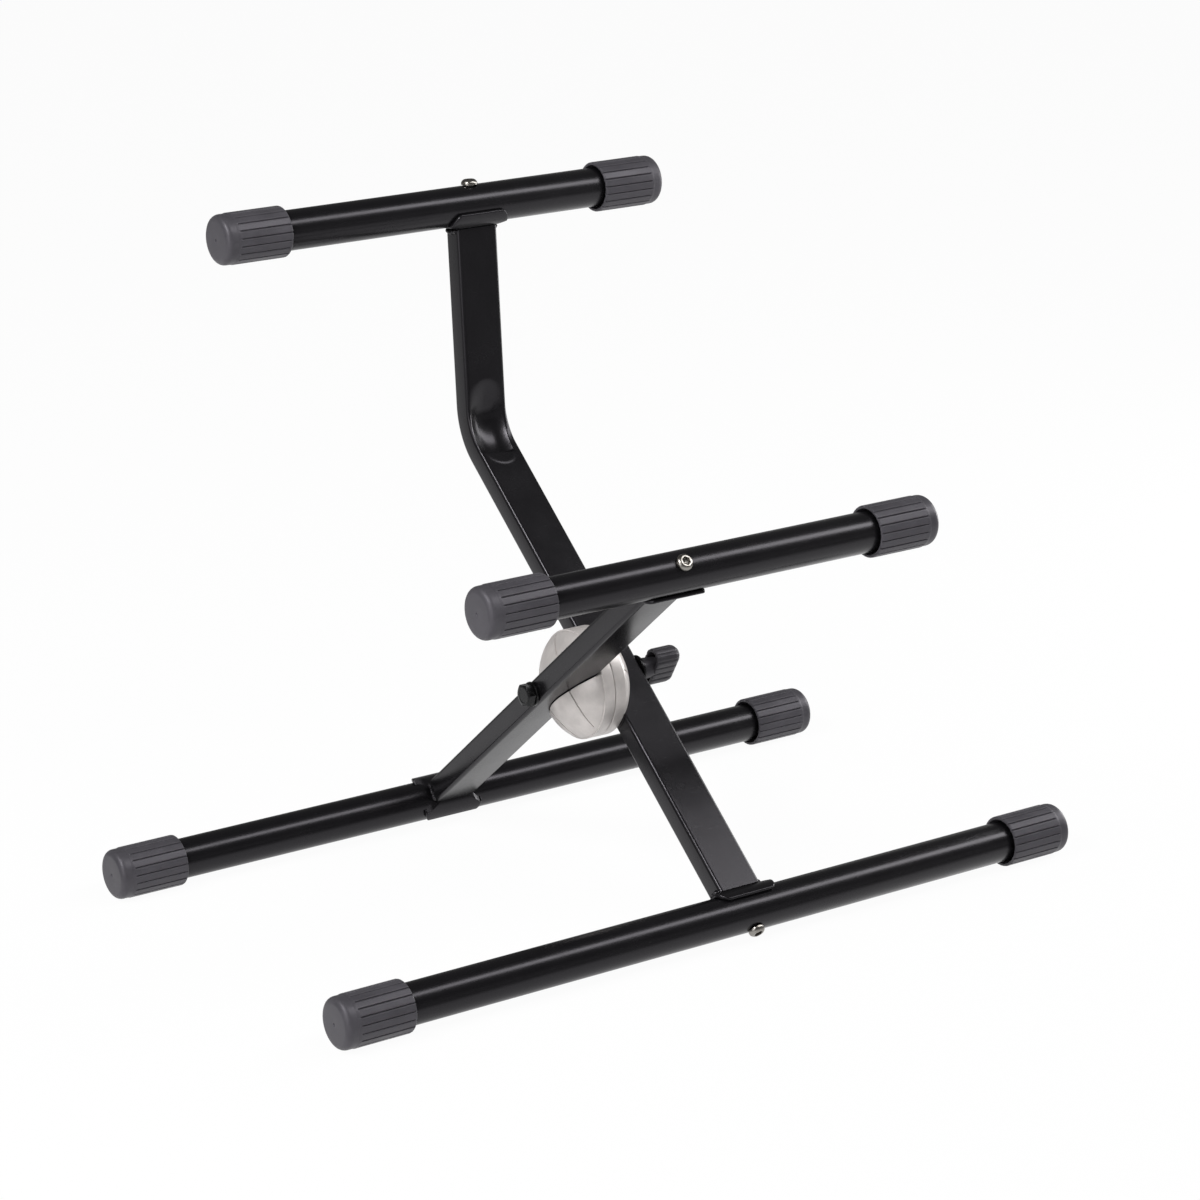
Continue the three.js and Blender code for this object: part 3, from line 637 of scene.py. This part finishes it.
# button head: rows of the socket follow the hexagon, rows of the crown a round arc
# from the socket's rim to the head's full width
def screwShape(armX, place):
    angle = np.linspace(0, 2 * math.pi, screw["segments"], endpoint=False)
    one = np.ones(screw["segments"])
    seat, head = -saddleInner, screw["headDiameter"] / 2
    hexRadius = hexagon(screw["socketWidth"], angle)
    top = seat - screw["headHeight"]
    crown = np.linspace(math.radians(37), math.radians(90), 12)
    crownHeight = (screw["headHeight"] - screw["band"]) / math.cos(crown[0])
    floor = top + screw["socketDepth"]
    rows = [(floor + screw["socketPoint"], hexRadius * 0.02), (floor, hexRadius * 0.97),
            (top + 0.25, hexRadius), (top + 0.02, hexRadius * 1.06)]
    for t in crown:
        rows.append((seat - screw["band"] - crownHeight * math.cos(t),
                     head * math.sin(t) ** 0.85 * one))
    rows += [(seat - 0.15, head * one), (seat, (head - 0.15) * one),
             (seat, screw["shank"] / 2 * one), (screw["tip"], screw["shank"] / 2 * one)]
    z = np.array([row[0] for row in rows])[:, None] + 0 * angle
    radius = np.maximum(np.stack([row[1] for row in rows]), 1e-3)
    grid = np.stack([radius * np.cos(angle) + armX, radius * np.sin(angle), z], -1)
    return moved(skin(grid), place)


armSection = {"width": 30.0, "thickness": 15.0, "wall": 1.5, "corner": 2.6}


# height of an arm's end over the bar's centre: the saddle's outer face plus a gap
def copeHeight(offset):
    return np.sqrt((saddleOuter + bars["seatGap"]) ** 2 - offset ** 2)


def armOutlines(faceSteps=1):
    wall, corner = armSection["wall"], armSection["corner"]
    outer = sectionOutline(armSection["width"], armSection["thickness"], corner, 7, faceSteps)
    inner = sectionOutline(armSection["width"] - 2 * wall, armSection["thickness"] - 2 * wall,
                           corner - wall, 7, faceSteps)
    return outer, inner


# straight rectangular pipe: the outline carried between two curved ends, outside and in
def shortArmShape():
    rows = []
    for outline, direction in zip(armOutlines(), (1, -1)):
        low = -layout["shortArmLower"] + copeHeight(outline[:, 1])
        high = layout["shortArmUpper"] - copeHeight(outline[:, 1])
        for share in np.linspace(0, 1, 9)[::direction]:
            z = low + (high - low) * share
            rows.append(np.stack([outline[:, 0] + layout["shortArmX"], outline[:, 1], z], -1))
    return moved(skin(np.stack(rows), True), rearPlace)


dent = {
    "depth": 5.4,
    "top": 35.0,
    "ridge": -22.0,
    "halfWidth": 14.2,
    "ridgeHalfWidth": 12.0,
    "ridgeWidth": 2.6,
    "ridgeBow": 2.0,
    "archDrop": 8.5,
    "rise": 30.0,
    "foldHeight": 0.3,
    "foldReach": 10.0,
    "foldHalfWidth": 11.5,
    "foldShift": 1.5,
    "middle": -2.0,
}


# how far the inner wall of the bend is pressed in at station s and place x across: a
# trough with a parabola's section whose depth grows from an arched upper end over rise,
# a steep bowed ridge at its lower end and, below the ridge, a half-moon fold that
# stands out
def dentDepth(s, x):
    share = np.clip((s - dent["ridge"]) / (dent["top"] - dent["ridge"]), 0, 1)
    halfWidth = dent["ridgeHalfWidth"] + (dent["halfWidth"] - dent["ridgeHalfWidth"]) * share
    centre = dent["middle"] * (1 - share)
    across = np.clip(np.abs(x - centre) / halfWidth, 0, 1)
    top = dent["top"] - dent["archDrop"] * across ** 2
    up = np.clip((top - s) / dent["rise"], 0, 1)
    up = up * up * (3 - 2 * up)
    ridge = dent["ridge"] - dent["ridgeBow"] * (x - centre) / halfWidth
    down = np.clip((s - ridge) / dent["ridgeWidth"], 0, 1)
    down = down * down * (3 - 2 * down)
    trough = dent["depth"] * up ** 0.8 * down * (1 - across ** 2.1)
    reach = np.sqrt(((x + dent["foldShift"]) / dent["foldHalfWidth"]) ** 2
                    + ((s - ridge) / dent["foldReach"]) ** 2)
    fold = np.clip((1 - reach) * 4, 0, 1)
    fold = dent["foldHeight"] * fold * fold * (3 - 2 * fold) * (s < ridge + 0.6)
    return trough - fold


# station s on the long arm's centre line, s past the middle of the bend: straight, an
# arc, and straight again; returns y, z and the direction turned so far
def longArmStation(s):
    bend, radius = layout["postBend"], layout["bendRadius"]
    halfArc = radius * bend / 2
    turned = np.clip((s + halfArc) / radius, 0, bend)
    along = np.minimum(s + halfArc, 0)
    beyond = np.maximum(s - halfArc, 0)
    startZ = layout["longArmToBend"] - radius * math.tan(bend / 2)
    y = -radius * (1 - np.cos(turned)) - beyond * np.sin(turned)
    z = startZ + along + radius * np.sin(turned) + beyond * np.cos(turned)
    return y, z, turned


# bent rectangular pipe: the outline carried along the stations, with the dent pressed
# into the side that faces the inside of the bend
def longArmShape():
    bend, radius = layout["postBend"], layout["bendRadius"]
    halfArc, tangent = radius * bend / 2, radius * math.tan(bend / 2)
    lower = -(layout["longArmLower"] + layout["longArmToBend"] - tangent) - halfArc
    upper = layout["longArmPost"] - tangent + halfArc
    fine = np.linspace(-35, 37, 132)
    stations = np.concatenate([np.linspace(lower + 20, -38, 12), fine,
                               np.linspace(40, upper - 20, 5)])
    rows = []
    for outline, direction in zip(armOutlines(56), (1, -1)):
        x, offset = outline[:, 0], outline[:, 1]
        s = np.repeat(stations[:, None], len(x), 1)
        s = np.concatenate([[lower + copeHeight(offset)], s, [upper - copeHeight(offset)]])
        y, z, turned = longArmStation(s)
        pressed = offset + np.where(offset < -armSection["thickness"] / 4, dentDepth(s, x), 0)
        grid = np.stack([x + layout["longArmX"] + 0 * s, y + pressed * np.cos(turned),
                         z + pressed * np.sin(turned)], -1)
        rows.append(grid[::direction])
    return moved(skin(np.concatenate(rows), True), frontPlace)


def crossbar(name, body, length, armX, bodyPlace, turn, y, z, seed):
    place = placeOn(bodyPlace, turn, y, z)
    dress(f"{name}_pipe", meshOf(f"{name}_pipe", [moved(tubeShape(length), place)]), body,
          satinPaint, [f"{name}_tube"])
    capX = length / 2 + bars["seatGap"] + cap["endWall"] - cap["length"]
    for side, word in ((-1, "left"), (1, "right")):
        shape = capShape(side, side * capX, place)
        dress(f"{name}_foot_{word}", meshOf(f"{name}_foot_{word}", [shape], 50), body,
              ribbedRubber, [f"{name}_cap_{word}"])
    dress(f"{name}_plate", meshOf(f"{name}_plate", [saddleShape(name, armX, place)], 50), body,
          satinPaint, [f"{name}_saddle"])
    dress(f"{name}_weld", meshOf(f"{name}_weld", weldShapes(armX, place, seed)), body, satinPaint)
    dress(f"{name}_bolt", meshOf(f"{name}_bolt", [screwShape(armX, place)], 28), body, nickelPlate,
          [f"{name}_screw"])


def buildCrossbars():
    bend, post = layout["postBend"], layout["longArmPost"]
    crossbar("front_base", "front_frame", bars["baseLength"], layout["longArmX"], frontPlace,
             0, 0, -layout["longArmLower"], 0.4)
    crossbar("top_rest", "front_frame", bars["restLength"], layout["longArmX"], frontPlace,
             math.pi + bend, -post * math.sin(bend),
             layout["longArmToBend"] + post * math.cos(bend), 1.7)
    crossbar("rear_base", "rear_frame", bars["baseLength"], layout["shortArmX"], rearPlace,
             0, 0, -layout["shortArmLower"], 2.9)
    crossbar("middle_rest", "rear_frame", bars["restLength"], layout["shortArmX"], rearPlace,
             math.pi, 0, layout["shortArmUpper"], 4.1)
    print("crossbars built")


def buildArms():
    dress("long_arm_pipe", meshOf("long_arm_pipe", [longArmShape()], 40), "front_frame",
          satinPaint, ["long_arm"])
    dress("short_arm_pipe", meshOf("short_arm_pipe", [shortArmShape()], 40), "rear_frame",
          satinPaint, ["short_arm"])
    print("arms built")


ball = {
    "radius": 34.9,
    "halfLength": 27.4,
    "rimWidth": 7.9,
    "fullness": 1.4,
    "step": 0.8,
    "rimRounding": 0.5,
    "lip": 0.35,
    "slotWidth": 16.2,
    "slotRounding": 0.45,
    "grooveWidth": 1.7,
    "grooveTip": 0.8,
    "grooveDepth": 0.9,
    "grooveOffset": 14.0,
    "grooveReach": 32.0,
    "boltHole": 4.3,
}


# rim and dome drawn in by inset: straight rim with a lip that narrows the parting line,
# a small step, then a dome whose radius is
# (1 - share ** fullness) ** (1 / fullness) of its full radius
def ballProfile(inset):
    rim = ball["rimWidth"] - layout["clutchGap"] / 2
    tip = ball["halfLength"] - layout["clutchGap"] / 2
    edge, soft = ball["radius"] - inset, ball["rimRounding"]
    start = rounded([[-ball["lip"], 0, 0], [-ball["lip"], edge, soft], [rim, edge, 0.3],
                     [rim, edge - ball["step"], 0.2], [rim + 0.6, edge - ball["step"] - 0.1, 0]], 4)
    t = np.linspace(0.03, 1, 42) * math.pi / 2
    power = 2 / ball["fullness"]
    dome = np.stack([rim + 0.35 + (tip - inset - rim - 0.35) * np.sin(t) ** power,
                     (edge - ball["step"] - 0.1) * np.cos(t) ** power], -1)
    return np.concatenate([start[1:-1], dome])


def plainObject(name, shapes):
    thing = bpy.data.objects.new(name, meshOf(name, shapes, 180, 1.0))
    bpy.context.scene.collection.objects.link(thing)
    return thing


# the named boolean applied to a copy, so that no live modifier is left
def cutMesh(name, base, tools, operation="DIFFERENCE"):
    for tool in tools:
        cut = base.modifiers.new("cut", "BOOLEAN")
        cut.operation = operation
        cut.solver = "EXACT"
        cut.object = tool
    graph = bpy.context.evaluated_depsgraph_get()
    mesh = bpy.data.meshes.new_from_object(base.evaluated_get(graph))
    mesh.name = name
    for thing in [base, *tools]:
        bpy.data.objects.remove(thing)
    return mesh


# a box between two corners, as a closed skin
def boxShape(low, high):
    corners = np.array([[x, y, z] for x in (low[0], high[0]) for y in (low[1], high[1])
                        for z in (low[2], high[2])], float)
    faces = [[0, 1, 3, 2], [4, 6, 7, 5], [0, 4, 5, 1], [2, 3, 7, 6], [0, 2, 6, 4], [1, 5, 7, 3]]
    return outward(corners, faces)


# a thin blade across an ear, as deep as the half is long: along the arm it lies at
# offset at the slot and drifts to the far value at the groove's end, narrowing to its tip
def grooveBlade(side, nearOffset, farOffset):
    across = np.linspace(ball["slotWidth"] / 2 - 2, ball["grooveReach"], 24)
    share = (across - across[0]) / (across[-1] - across[0])
    along = nearOffset + (farOffset - nearOffset) * share ** 1.6
    half = (ball["grooveWidth"] + (ball["grooveTip"] - ball["grooveWidth"]) * share) / 2
    rows = []
    for x, sign in ((9, -1), (9, 1), (60, 1), (60, -1)):
        rows.append(np.stack([np.full(24, float(x)), side * across, along + sign * half], -1))
    grid = np.stack(rows, 1)
    return skin(grid)


def jointHalf(name, body, armInner, flip, place, grooves):
    slotFloor = armInner - bars["seatGap"]
    half = ball["slotWidth"] / 2
    inner = plainObject("inner", [turnedX(ballProfile(ball["grooveDepth"]), 120)])
    blade = plainObject("blade", [grooveBlade(*groove) for groove in grooves])
    blades = bpy.data.objects.new("blades", cutMesh("blades", blade, [inner]))
    bpy.context.scene.collection.objects.link(blades)
    slotBox = plainObject("slot", [boxShape([slotFloor, -half, -80], [80, half, 80])])
    boreProfile = np.array([[-5.0, ball["boltHole"]], [60.0, ball["boltHole"]]])
    bore = plainObject("bore", [turnedX(boreProfile, 48)])
    solid = plainObject("solid", [turnedX(ballProfile(0), 240)])
    mesh = cutMesh(name, solid, [slotBox, blades, bore])
    points = np.empty(len(mesh.vertices) * 3)
    mesh.vertices.foreach_get("co", points)
    points = points.reshape(-1, 3)
    if flip:
        points = points * np.array([-1, 1, -1])
    mesh.vertices.foreach_set("co", (placed(points, place) * 0.001).ravel())
    mesh.polygons.foreach_set("use_smooth", [True] * len(mesh.polygons))
    mesh.set_sharp_from_angle(angle=math.radians(28))
    piece = dress(f"{name}_cast", mesh, body, castSilver, [name])
    bevel = piece.modifiers.new("soft_edges", "BEVEL")
    bevel.width = ball["slotRounding"] * 0.001
    bevel.segments = 2
    bevel.limit_method = "ANGLE"
    bevel.angle_limit = math.radians(42)
    bevel.use_clamp_overlap = True
    return piece


def buildJoint():
    leftRim = layout["partingX"] - layout["clutchGap"] / 2
    rightRim = layout["partingX"] + layout["clutchGap"] / 2
    halfArm = armSection["width"] / 2
    leftPlace = placeOn(rearPlace, 0, 0, 0, leftRim)
    rightPlace = placeOn(frontPlace, 0, 0, 0, rightRim)
    off = ball["grooveOffset"]
    square = [(1, off, off), (-1, off, off), (1, -off, -off), (-1, -off, -off)]
    swept = [(1, -14.8, -7.0), (-1, -14.8, -7.0), (1, off, off), (-1, off, off)]
    jointHalf("joint_half_left", "rear_frame", leftRim - layout["shortArmX"] - halfArm, True,
              leftPlace, swept)
    jointHalf("joint_half_right", "front_frame", layout["longArmX"] - halfArm - rightRim, False,
              rightPlace, square)
    print("ball joint built")


buildCrossbars()
buildArms()
buildJoint()


bolt = {
    "diameter": 8.0,
    "headWidth": 13.0,
    "headHeight": 5.3,
    "chamfer": 1.1,
    "headWasher": 15.4,
    "knobWasher": 19.0,
    "washerThickness": 1.6,
    "boltPlay": 0.3,
    "segments": 144,
}


# hexagon head and round shank: the head's rows are the lesser of the hexagon and a cone
def boltShape(headX, tipX):
    angle = np.linspace(0, 2 * math.pi, bolt["segments"], endpoint=False)
    one = np.ones(bolt["segments"])
    shank = bolt["diameter"] / 2
    hexRadius = hexagon(bolt["headWidth"], angle + math.pi / 6)
    corner = bolt["headWidth"] / math.sqrt(3)
    outer = headX - bolt["headHeight"]
    flatRadius = corner - bolt["chamfer"] - 0.35
    rows = [(outer + 0.25, 0.01 * one), (outer + 0.25, flatRadius * 0.72 * one),
            (outer, flatRadius * 0.78 * one), (outer, (flatRadius - 0.2) * one)]
    for share in np.linspace(0, 1, 7):
        rows.append((outer + 0.05 + bolt["chamfer"] * 0.62 * share,
                     np.minimum(hexRadius, flatRadius + (corner - flatRadius) * share)))
    rows += [(headX - 0.3, hexRadius), (headX, hexRadius - 0.3), (headX, shank * one),
             (tipX - 0.8, shank * one), (tipX, (shank - 0.8) * one)]
    x = np.array([row[0] for row in rows])[:, None] + 0 * angle
    radius = np.stack([row[1] for row in rows])
    return skin(np.stack([x, radius * np.cos(angle), radius * np.sin(angle)], -1))


def washerShape(diameter, fromX):
    outer, inner = diameter / 2, bolt["diameter"] / 2 + bolt["boltPlay"]
    toX = fromX + bolt["washerThickness"]
    profile = rounded([[fromX, inner, 0.15], [fromX, outer, 0.4],
                       [toX, outer, 0.4], [toX, inner, 0.15]], 4, True)
    return turnedX(profile, 96, True)


knob = {
    "gripLength": 28.0,
    "gripThickness": 13.5,
    "gripDepth": 19.5,
    "shellWall": 2.2,
    "edgeRadius": 6.0,
    "recessDepth": 13.0,
    "bossDiameter": 13.0,
    "bossTaper": 1.0,
    "neckDiameter": 14.0,
    "neckLength": 2.0,
    "bossReach": 8.0,
    "ribPitch": 5.2,
    "ribDepth": 0.5,
    "insertDiameter": 10.4,
}


# stadium outline in (y, z) drawn in by inset, at n even steps of its length, with the
# grooves between the ribs a raised cosine's sixth power taken off the radius
def stadium(inset, ribDepth, count=420):
    endRadius = knob["gripThickness"] / 2
    half = (knob["gripLength"] - knob["gripThickness"]) / 2
    straight, curved = 2 * half, math.pi * endRadius
    total = 2 * (straight + curved)
    walked = np.linspace(0, total, count, endpoint=False)
    ribs = round(total / knob["ribPitch"])
    wave = 0.5 - 0.5 * np.cos(walked / total * ribs * 2 * math.pi)
    radius = endRadius - inset - ribDepth * wave ** 6
    part = walked % (total / 2)
    onSide = part < straight
    angle = np.where(onSide, 0, (part - straight) / endRadius)
    along = np.where(onSide, part - half, half)
    sign = np.where(walked < total / 2, 1, -1)
    y = sign * (radius * np.cos(angle))
    z = sign * (along + radius * np.sin(angle))
    return np.stack([y, z], -1)


# hollow grip: outer skin from the open side over a rounded end to its middle, and the
# recess inside it; the tapered boss stands in the recess
def knobShapes():
    openX, endX = knob["bossReach"], knob["bossReach"] + knob["gripDepth"]
    edge = knob["edgeRadius"]
    rows = []
    floorX = openX + knob["recessDepth"]
    wall = knob["shellWall"]
    for share in (0.02, 0.6, 0.92):
        rows.append((floorX, wall, 0.0, share))
    for x, inset in ((floorX - 0.8, wall), (openX + 0.6, wall), (openX + 0.15, wall - 0.25),
                     (openX, wall - 0.7)):
        rows.append((x, inset, 0.0, 1.0))
    for x, inset, ribs in ((openX, 0.7, 0.6), (openX + 0.15, 0.25, 0.9), (openX + 0.6, 0, 1)):
        rows.append((x, inset, ribs, 1.0))
    for share in np.linspace(0.2, 1, 6):
        rows.append((openX + (endX - edge - openX) * share, 0, 1, 1.0))
    for turn in np.linspace(0.1, math.pi / 2, 14):
        rows.append((endX - edge * (1 - math.sin(turn)), edge * (1 - math.cos(turn)),
                     math.cos(turn) ** 0.7, 1.0))
    for share in (0.9, 0.5, 0.05):
        rows.append((endX, edge, 0.0, share))
    grid = []
    for x, inset, ribs, share in rows:
        outline = stadium(inset, knob["ribDepth"] * ribs) * share
        grid.append(np.concatenate([np.full((len(outline), 1), x), outline], 1))
    shell = skin(np.stack(grid))
    neck, boss = knob["neckDiameter"] / 2, knob["bossDiameter"] / 2
    bore = knob["insertDiameter"] / 2 + bars["seatGap"]
    profile = rounded([[0, bore, 0.2], [0, neck, 0.6], [knob["neckLength"], neck, 1.0],
                       [openX, boss, 1.0], [floorX + 1, boss - knob["bossTaper"], 0],
                       [floorX + 1, bore, 0]], 4, True)
    return [shell, turnedX(profile, 96, True)]


def buildClamp():
    shortOuter = layout["shortArmX"] - armSection["width"] / 2
    longOuter = layout["longArmX"] + armSection["width"] / 2
    gap = bars["seatGap"]
    headX = shortOuter - bolt["washerThickness"] - gap
    knobX = longOuter + bolt["washerThickness"] + gap
    shape = moved(boltShape(headX - gap, knobX + 16), rearPlace)
    dress("clamp_bolt_steel", meshOf("clamp_bolt_steel", [shape], 25), "rear_frame", blackOxide,
          ["clamp_bolt"])
    shape = moved(washerShape(bolt["headWasher"], headX), rearPlace)
    dress("bolt_washer_steel", meshOf("bolt_washer_steel", [shape], 60), "rear_frame", blackOxide,
          ["bolt_washer"])
    shape = moved(washerShape(bolt["knobWasher"], longOuter + gap / 2), frontPlace)
    dress("knob_washer_steel", meshOf("knob_washer_steel", [shape], 60), "front_frame",
          {"material": blackOxide["material"], "slot": "bright_steel"}, ["knob_washer"])
    place = {"turn": layout["knobTilt"], "x": knobX, "y": frontPlace["y"], "z": frontPlace["z"]}
    shapes = [moved(shape, place) for shape in knobShapes()]
    dress("clamp_knob_plastic", meshOf("clamp_knob_plastic", shapes, 40), "knob", knobPlastic,
          ["clamp_knob"])
    print("clamp bolt and knob built")


buildClamp()


innerPieces = {
    "front_base_arm_plug": zincPlate,
    "top_rest_arm_plug": zincPlate,
    "rear_base_arm_plug": zincPlate,
    "middle_rest_arm_plug": zincPlate,
    "long_arm_sleeve": zincPlate,
    "short_arm_sleeve": zincPlate,
    "knob_insert": zincPlate,
    "release_spring": nickelPlate,
}
for node, finish in innerPieces.items():
    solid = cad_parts[node]
    solid.data.materials.clear()
    solid.data.materials.append(finish["material"])
print("inner pieces finished")


studio = {
    "azimuth": -34.567,
    "elevation": 18.11,
    "cameraPlace": (-1.25557, -1.84887, 0.90961),
    "lens": 113.14,
    "sensor": 36.0,
    "skyLow": 0.35,
    "skyHigh": 0.11,
    "skyFrom": 0.04,
    "skyTo": 0.34,
    "floorReach": 14.0,
    "floorGrey": 0.86,
    "floorGlow": 0.96,
    # painted shade in reflections: between these facing values glossy rays see the floor turn to
    # this dim grey
    "reflectionShadeFrom": 0.68,
    "reflectionShadeTo": 0.85,
    "reflectionShadeLevel": 0.2,
    "aim": (0.0, 0.0, 0.2),
    "lamps": [
        {"name": "key_strip", "way": (0.539, -0.42, 0.72), "distance": 2.4,
         "size": (2.8, 0.62), "watts": 36.0},
        {"name": "right", "way": (1.0, 0.0, 0.18), "distance": 1.35,
         "size": (0.45, 0.62), "watts": 6.5},
        {"name": "upper_left", "way": (-0.70, -0.10, 0.70), "distance": 2.0,
         "size": (0.3, 1.0), "watts": 26.0},
        {"name": "left", "way": (-1.0, -0.35, 0.25), "distance": 2.2,
         "size": (1.4, 1.4), "watts": 13.0},
    ],
}


# a matt floor that shows white to the camera and to reflections; to reflections that meet it at a
# flat angle it shows a dim grey instead, which paints shade into the reflections on the pieces
def buildFloor():
    mesh = bpy.data.meshes.new("floor")
    reach = studio["floorReach"]
    corners = [(-reach, -reach, 0), (reach, -reach, 0), (reach, reach, 0), (-reach, reach, 0)]
    mesh.from_pydata(corners, [], [(0, 1, 2, 3)])
    floor = bpy.data.objects.new("floor", mesh)
    bpy.context.scene.collection.objects.link(floor)
    material = bpy.data.materials.new("studio_floor")
    material.use_nodes = True
    sheet = Sheet(material.node_tree)
    ray = sheet.tree.nodes.new("ShaderNodeLightPath")
    camera = Signal(sheet, ray.outputs["Is Camera Ray"])
    glossy = Signal(sheet, ray.outputs["Is Glossy Ray"])
    through = Signal(sheet, ray.outputs["Is Transmission Ray"])
    seen = sheet.node("ShaderNodeMath", {"operation": "MINIMUM"},
                      {0: camera + glossy + through, 1: 1.0})
    matt = sheet.node("ShaderNodeBsdfDiffuse", None, {"Color": grey(studio["floorGrey"])})
    glow = sheet.node("ShaderNodeEmission", None, {"Color": grey(1.0), "Strength": 1.0})
    pale = sheet.node("ShaderNodeMixShader", None,
                      {0: seen * studio["floorGlow"], 1: matt, 2: glow})
    # painted shade: glossy rays that meet the floor at a flat angle see a dim grey in place of the
    # white floor
    flat = sheet.node("ShaderNodeLayerWeight", None, {"Blend": 0.5}, "Facing")
    fading = sheet.spread(flat, studio["reflectionShadeFrom"], studio["reflectionShadeTo"])
    dim = sheet.node("ShaderNodeEmission", None,
                     {"Color": grey(studio["reflectionShadeLevel"]), "Strength": 1.0})
    mixed = sheet.node("ShaderNodeMixShader", None, {0: glossy * fading, 1: pale, 2: dim})
    output = sheet.tree.nodes.new("ShaderNodeOutputMaterial")
    sheet.tree.links.new(mixed.socket, output.inputs["Surface"])
    mesh.materials.append(material)


# a sky that darkens from the horizon upward
def buildWorld():
    world = bpy.data.worlds.new("studio")
    bpy.context.scene.world = world
    world.use_nodes = True
    sheet = Sheet(world.node_tree)
    way = sheet.node("ShaderNodeTexCoord", None, None, "Generated")
    parts = sheet.tree.nodes.new("ShaderNodeSeparateXYZ")
    sheet.tree.links.new(way.socket, parts.inputs["Vector"])
    height = sheet.spread(Signal(sheet, parts.outputs["Z"]), studio["skyFrom"], studio["skyTo"])
    colour = sheet.tint(height, grey(studio["skyLow"]), grey(studio["skyHigh"]))
    sky = sheet.node("ShaderNodeBackground", None, {"Color": colour, "Strength": 1.0})
    output = sheet.tree.nodes.new("ShaderNodeOutputWorld")
    sheet.tree.links.new(sky.socket, output.inputs["Surface"])


def buildLamps():
    for lamp in studio["lamps"]:
        data = bpy.data.lights.new(lamp["name"], "AREA")
        data.shape = "RECTANGLE"
        data.size, data.size_y = lamp["size"]
        data.energy = lamp["watts"]
        thing = bpy.data.objects.new(lamp["name"], data)
        bpy.context.scene.collection.objects.link(thing)
        back = np.array(lamp["way"]) / np.linalg.norm(lamp["way"])
        place = np.array(studio["aim"]) + lamp["distance"] * back
        level = np.cross([0.0, 0.0, 1.0], back) if abs(back[0]) > 0.9 else np.array([1.0, 0.0, 0.0])
        side = level - (level @ back) * back
        side = side / np.linalg.norm(side)
        up = np.cross(back, side)
        matrix = np.eye(4)
        matrix[:3, 0], matrix[:3, 1], matrix[:3, 2], matrix[:3, 3] = side, up, back, place
        thing.matrix_world = Matrix(matrix.tolist())


def buildCamera():
    azimuth, elevation = math.radians(studio["azimuth"]), math.radians(studio["elevation"])
    data = bpy.data.cameras.new("camera")
    data.lens, data.sensor_width = studio["lens"], studio["sensor"]
    data.clip_start, data.clip_end = 0.05, 60.0
    camera = bpy.data.objects.new("camera", data)
    bpy.context.scene.collection.objects.link(camera)
    back = np.array([math.sin(azimuth) * math.cos(elevation),
                     -math.cos(azimuth) * math.cos(elevation), math.sin(elevation)])
    side = np.array([math.cos(azimuth), math.sin(azimuth), 0.0])
    matrix = np.eye(4)
    matrix[:3, 0], matrix[:3, 1], matrix[:3, 2] = side, np.cross(back, side), back
    matrix[:3, 3] = studio["cameraPlace"]
    camera.matrix_world = Matrix(matrix.tolist())
    bpy.context.scene.camera = camera


buildFloor()
buildWorld()
buildLamps()
buildCamera()
bpy.context.scene.view_settings.view_transform = "Standard"
print("studio set")
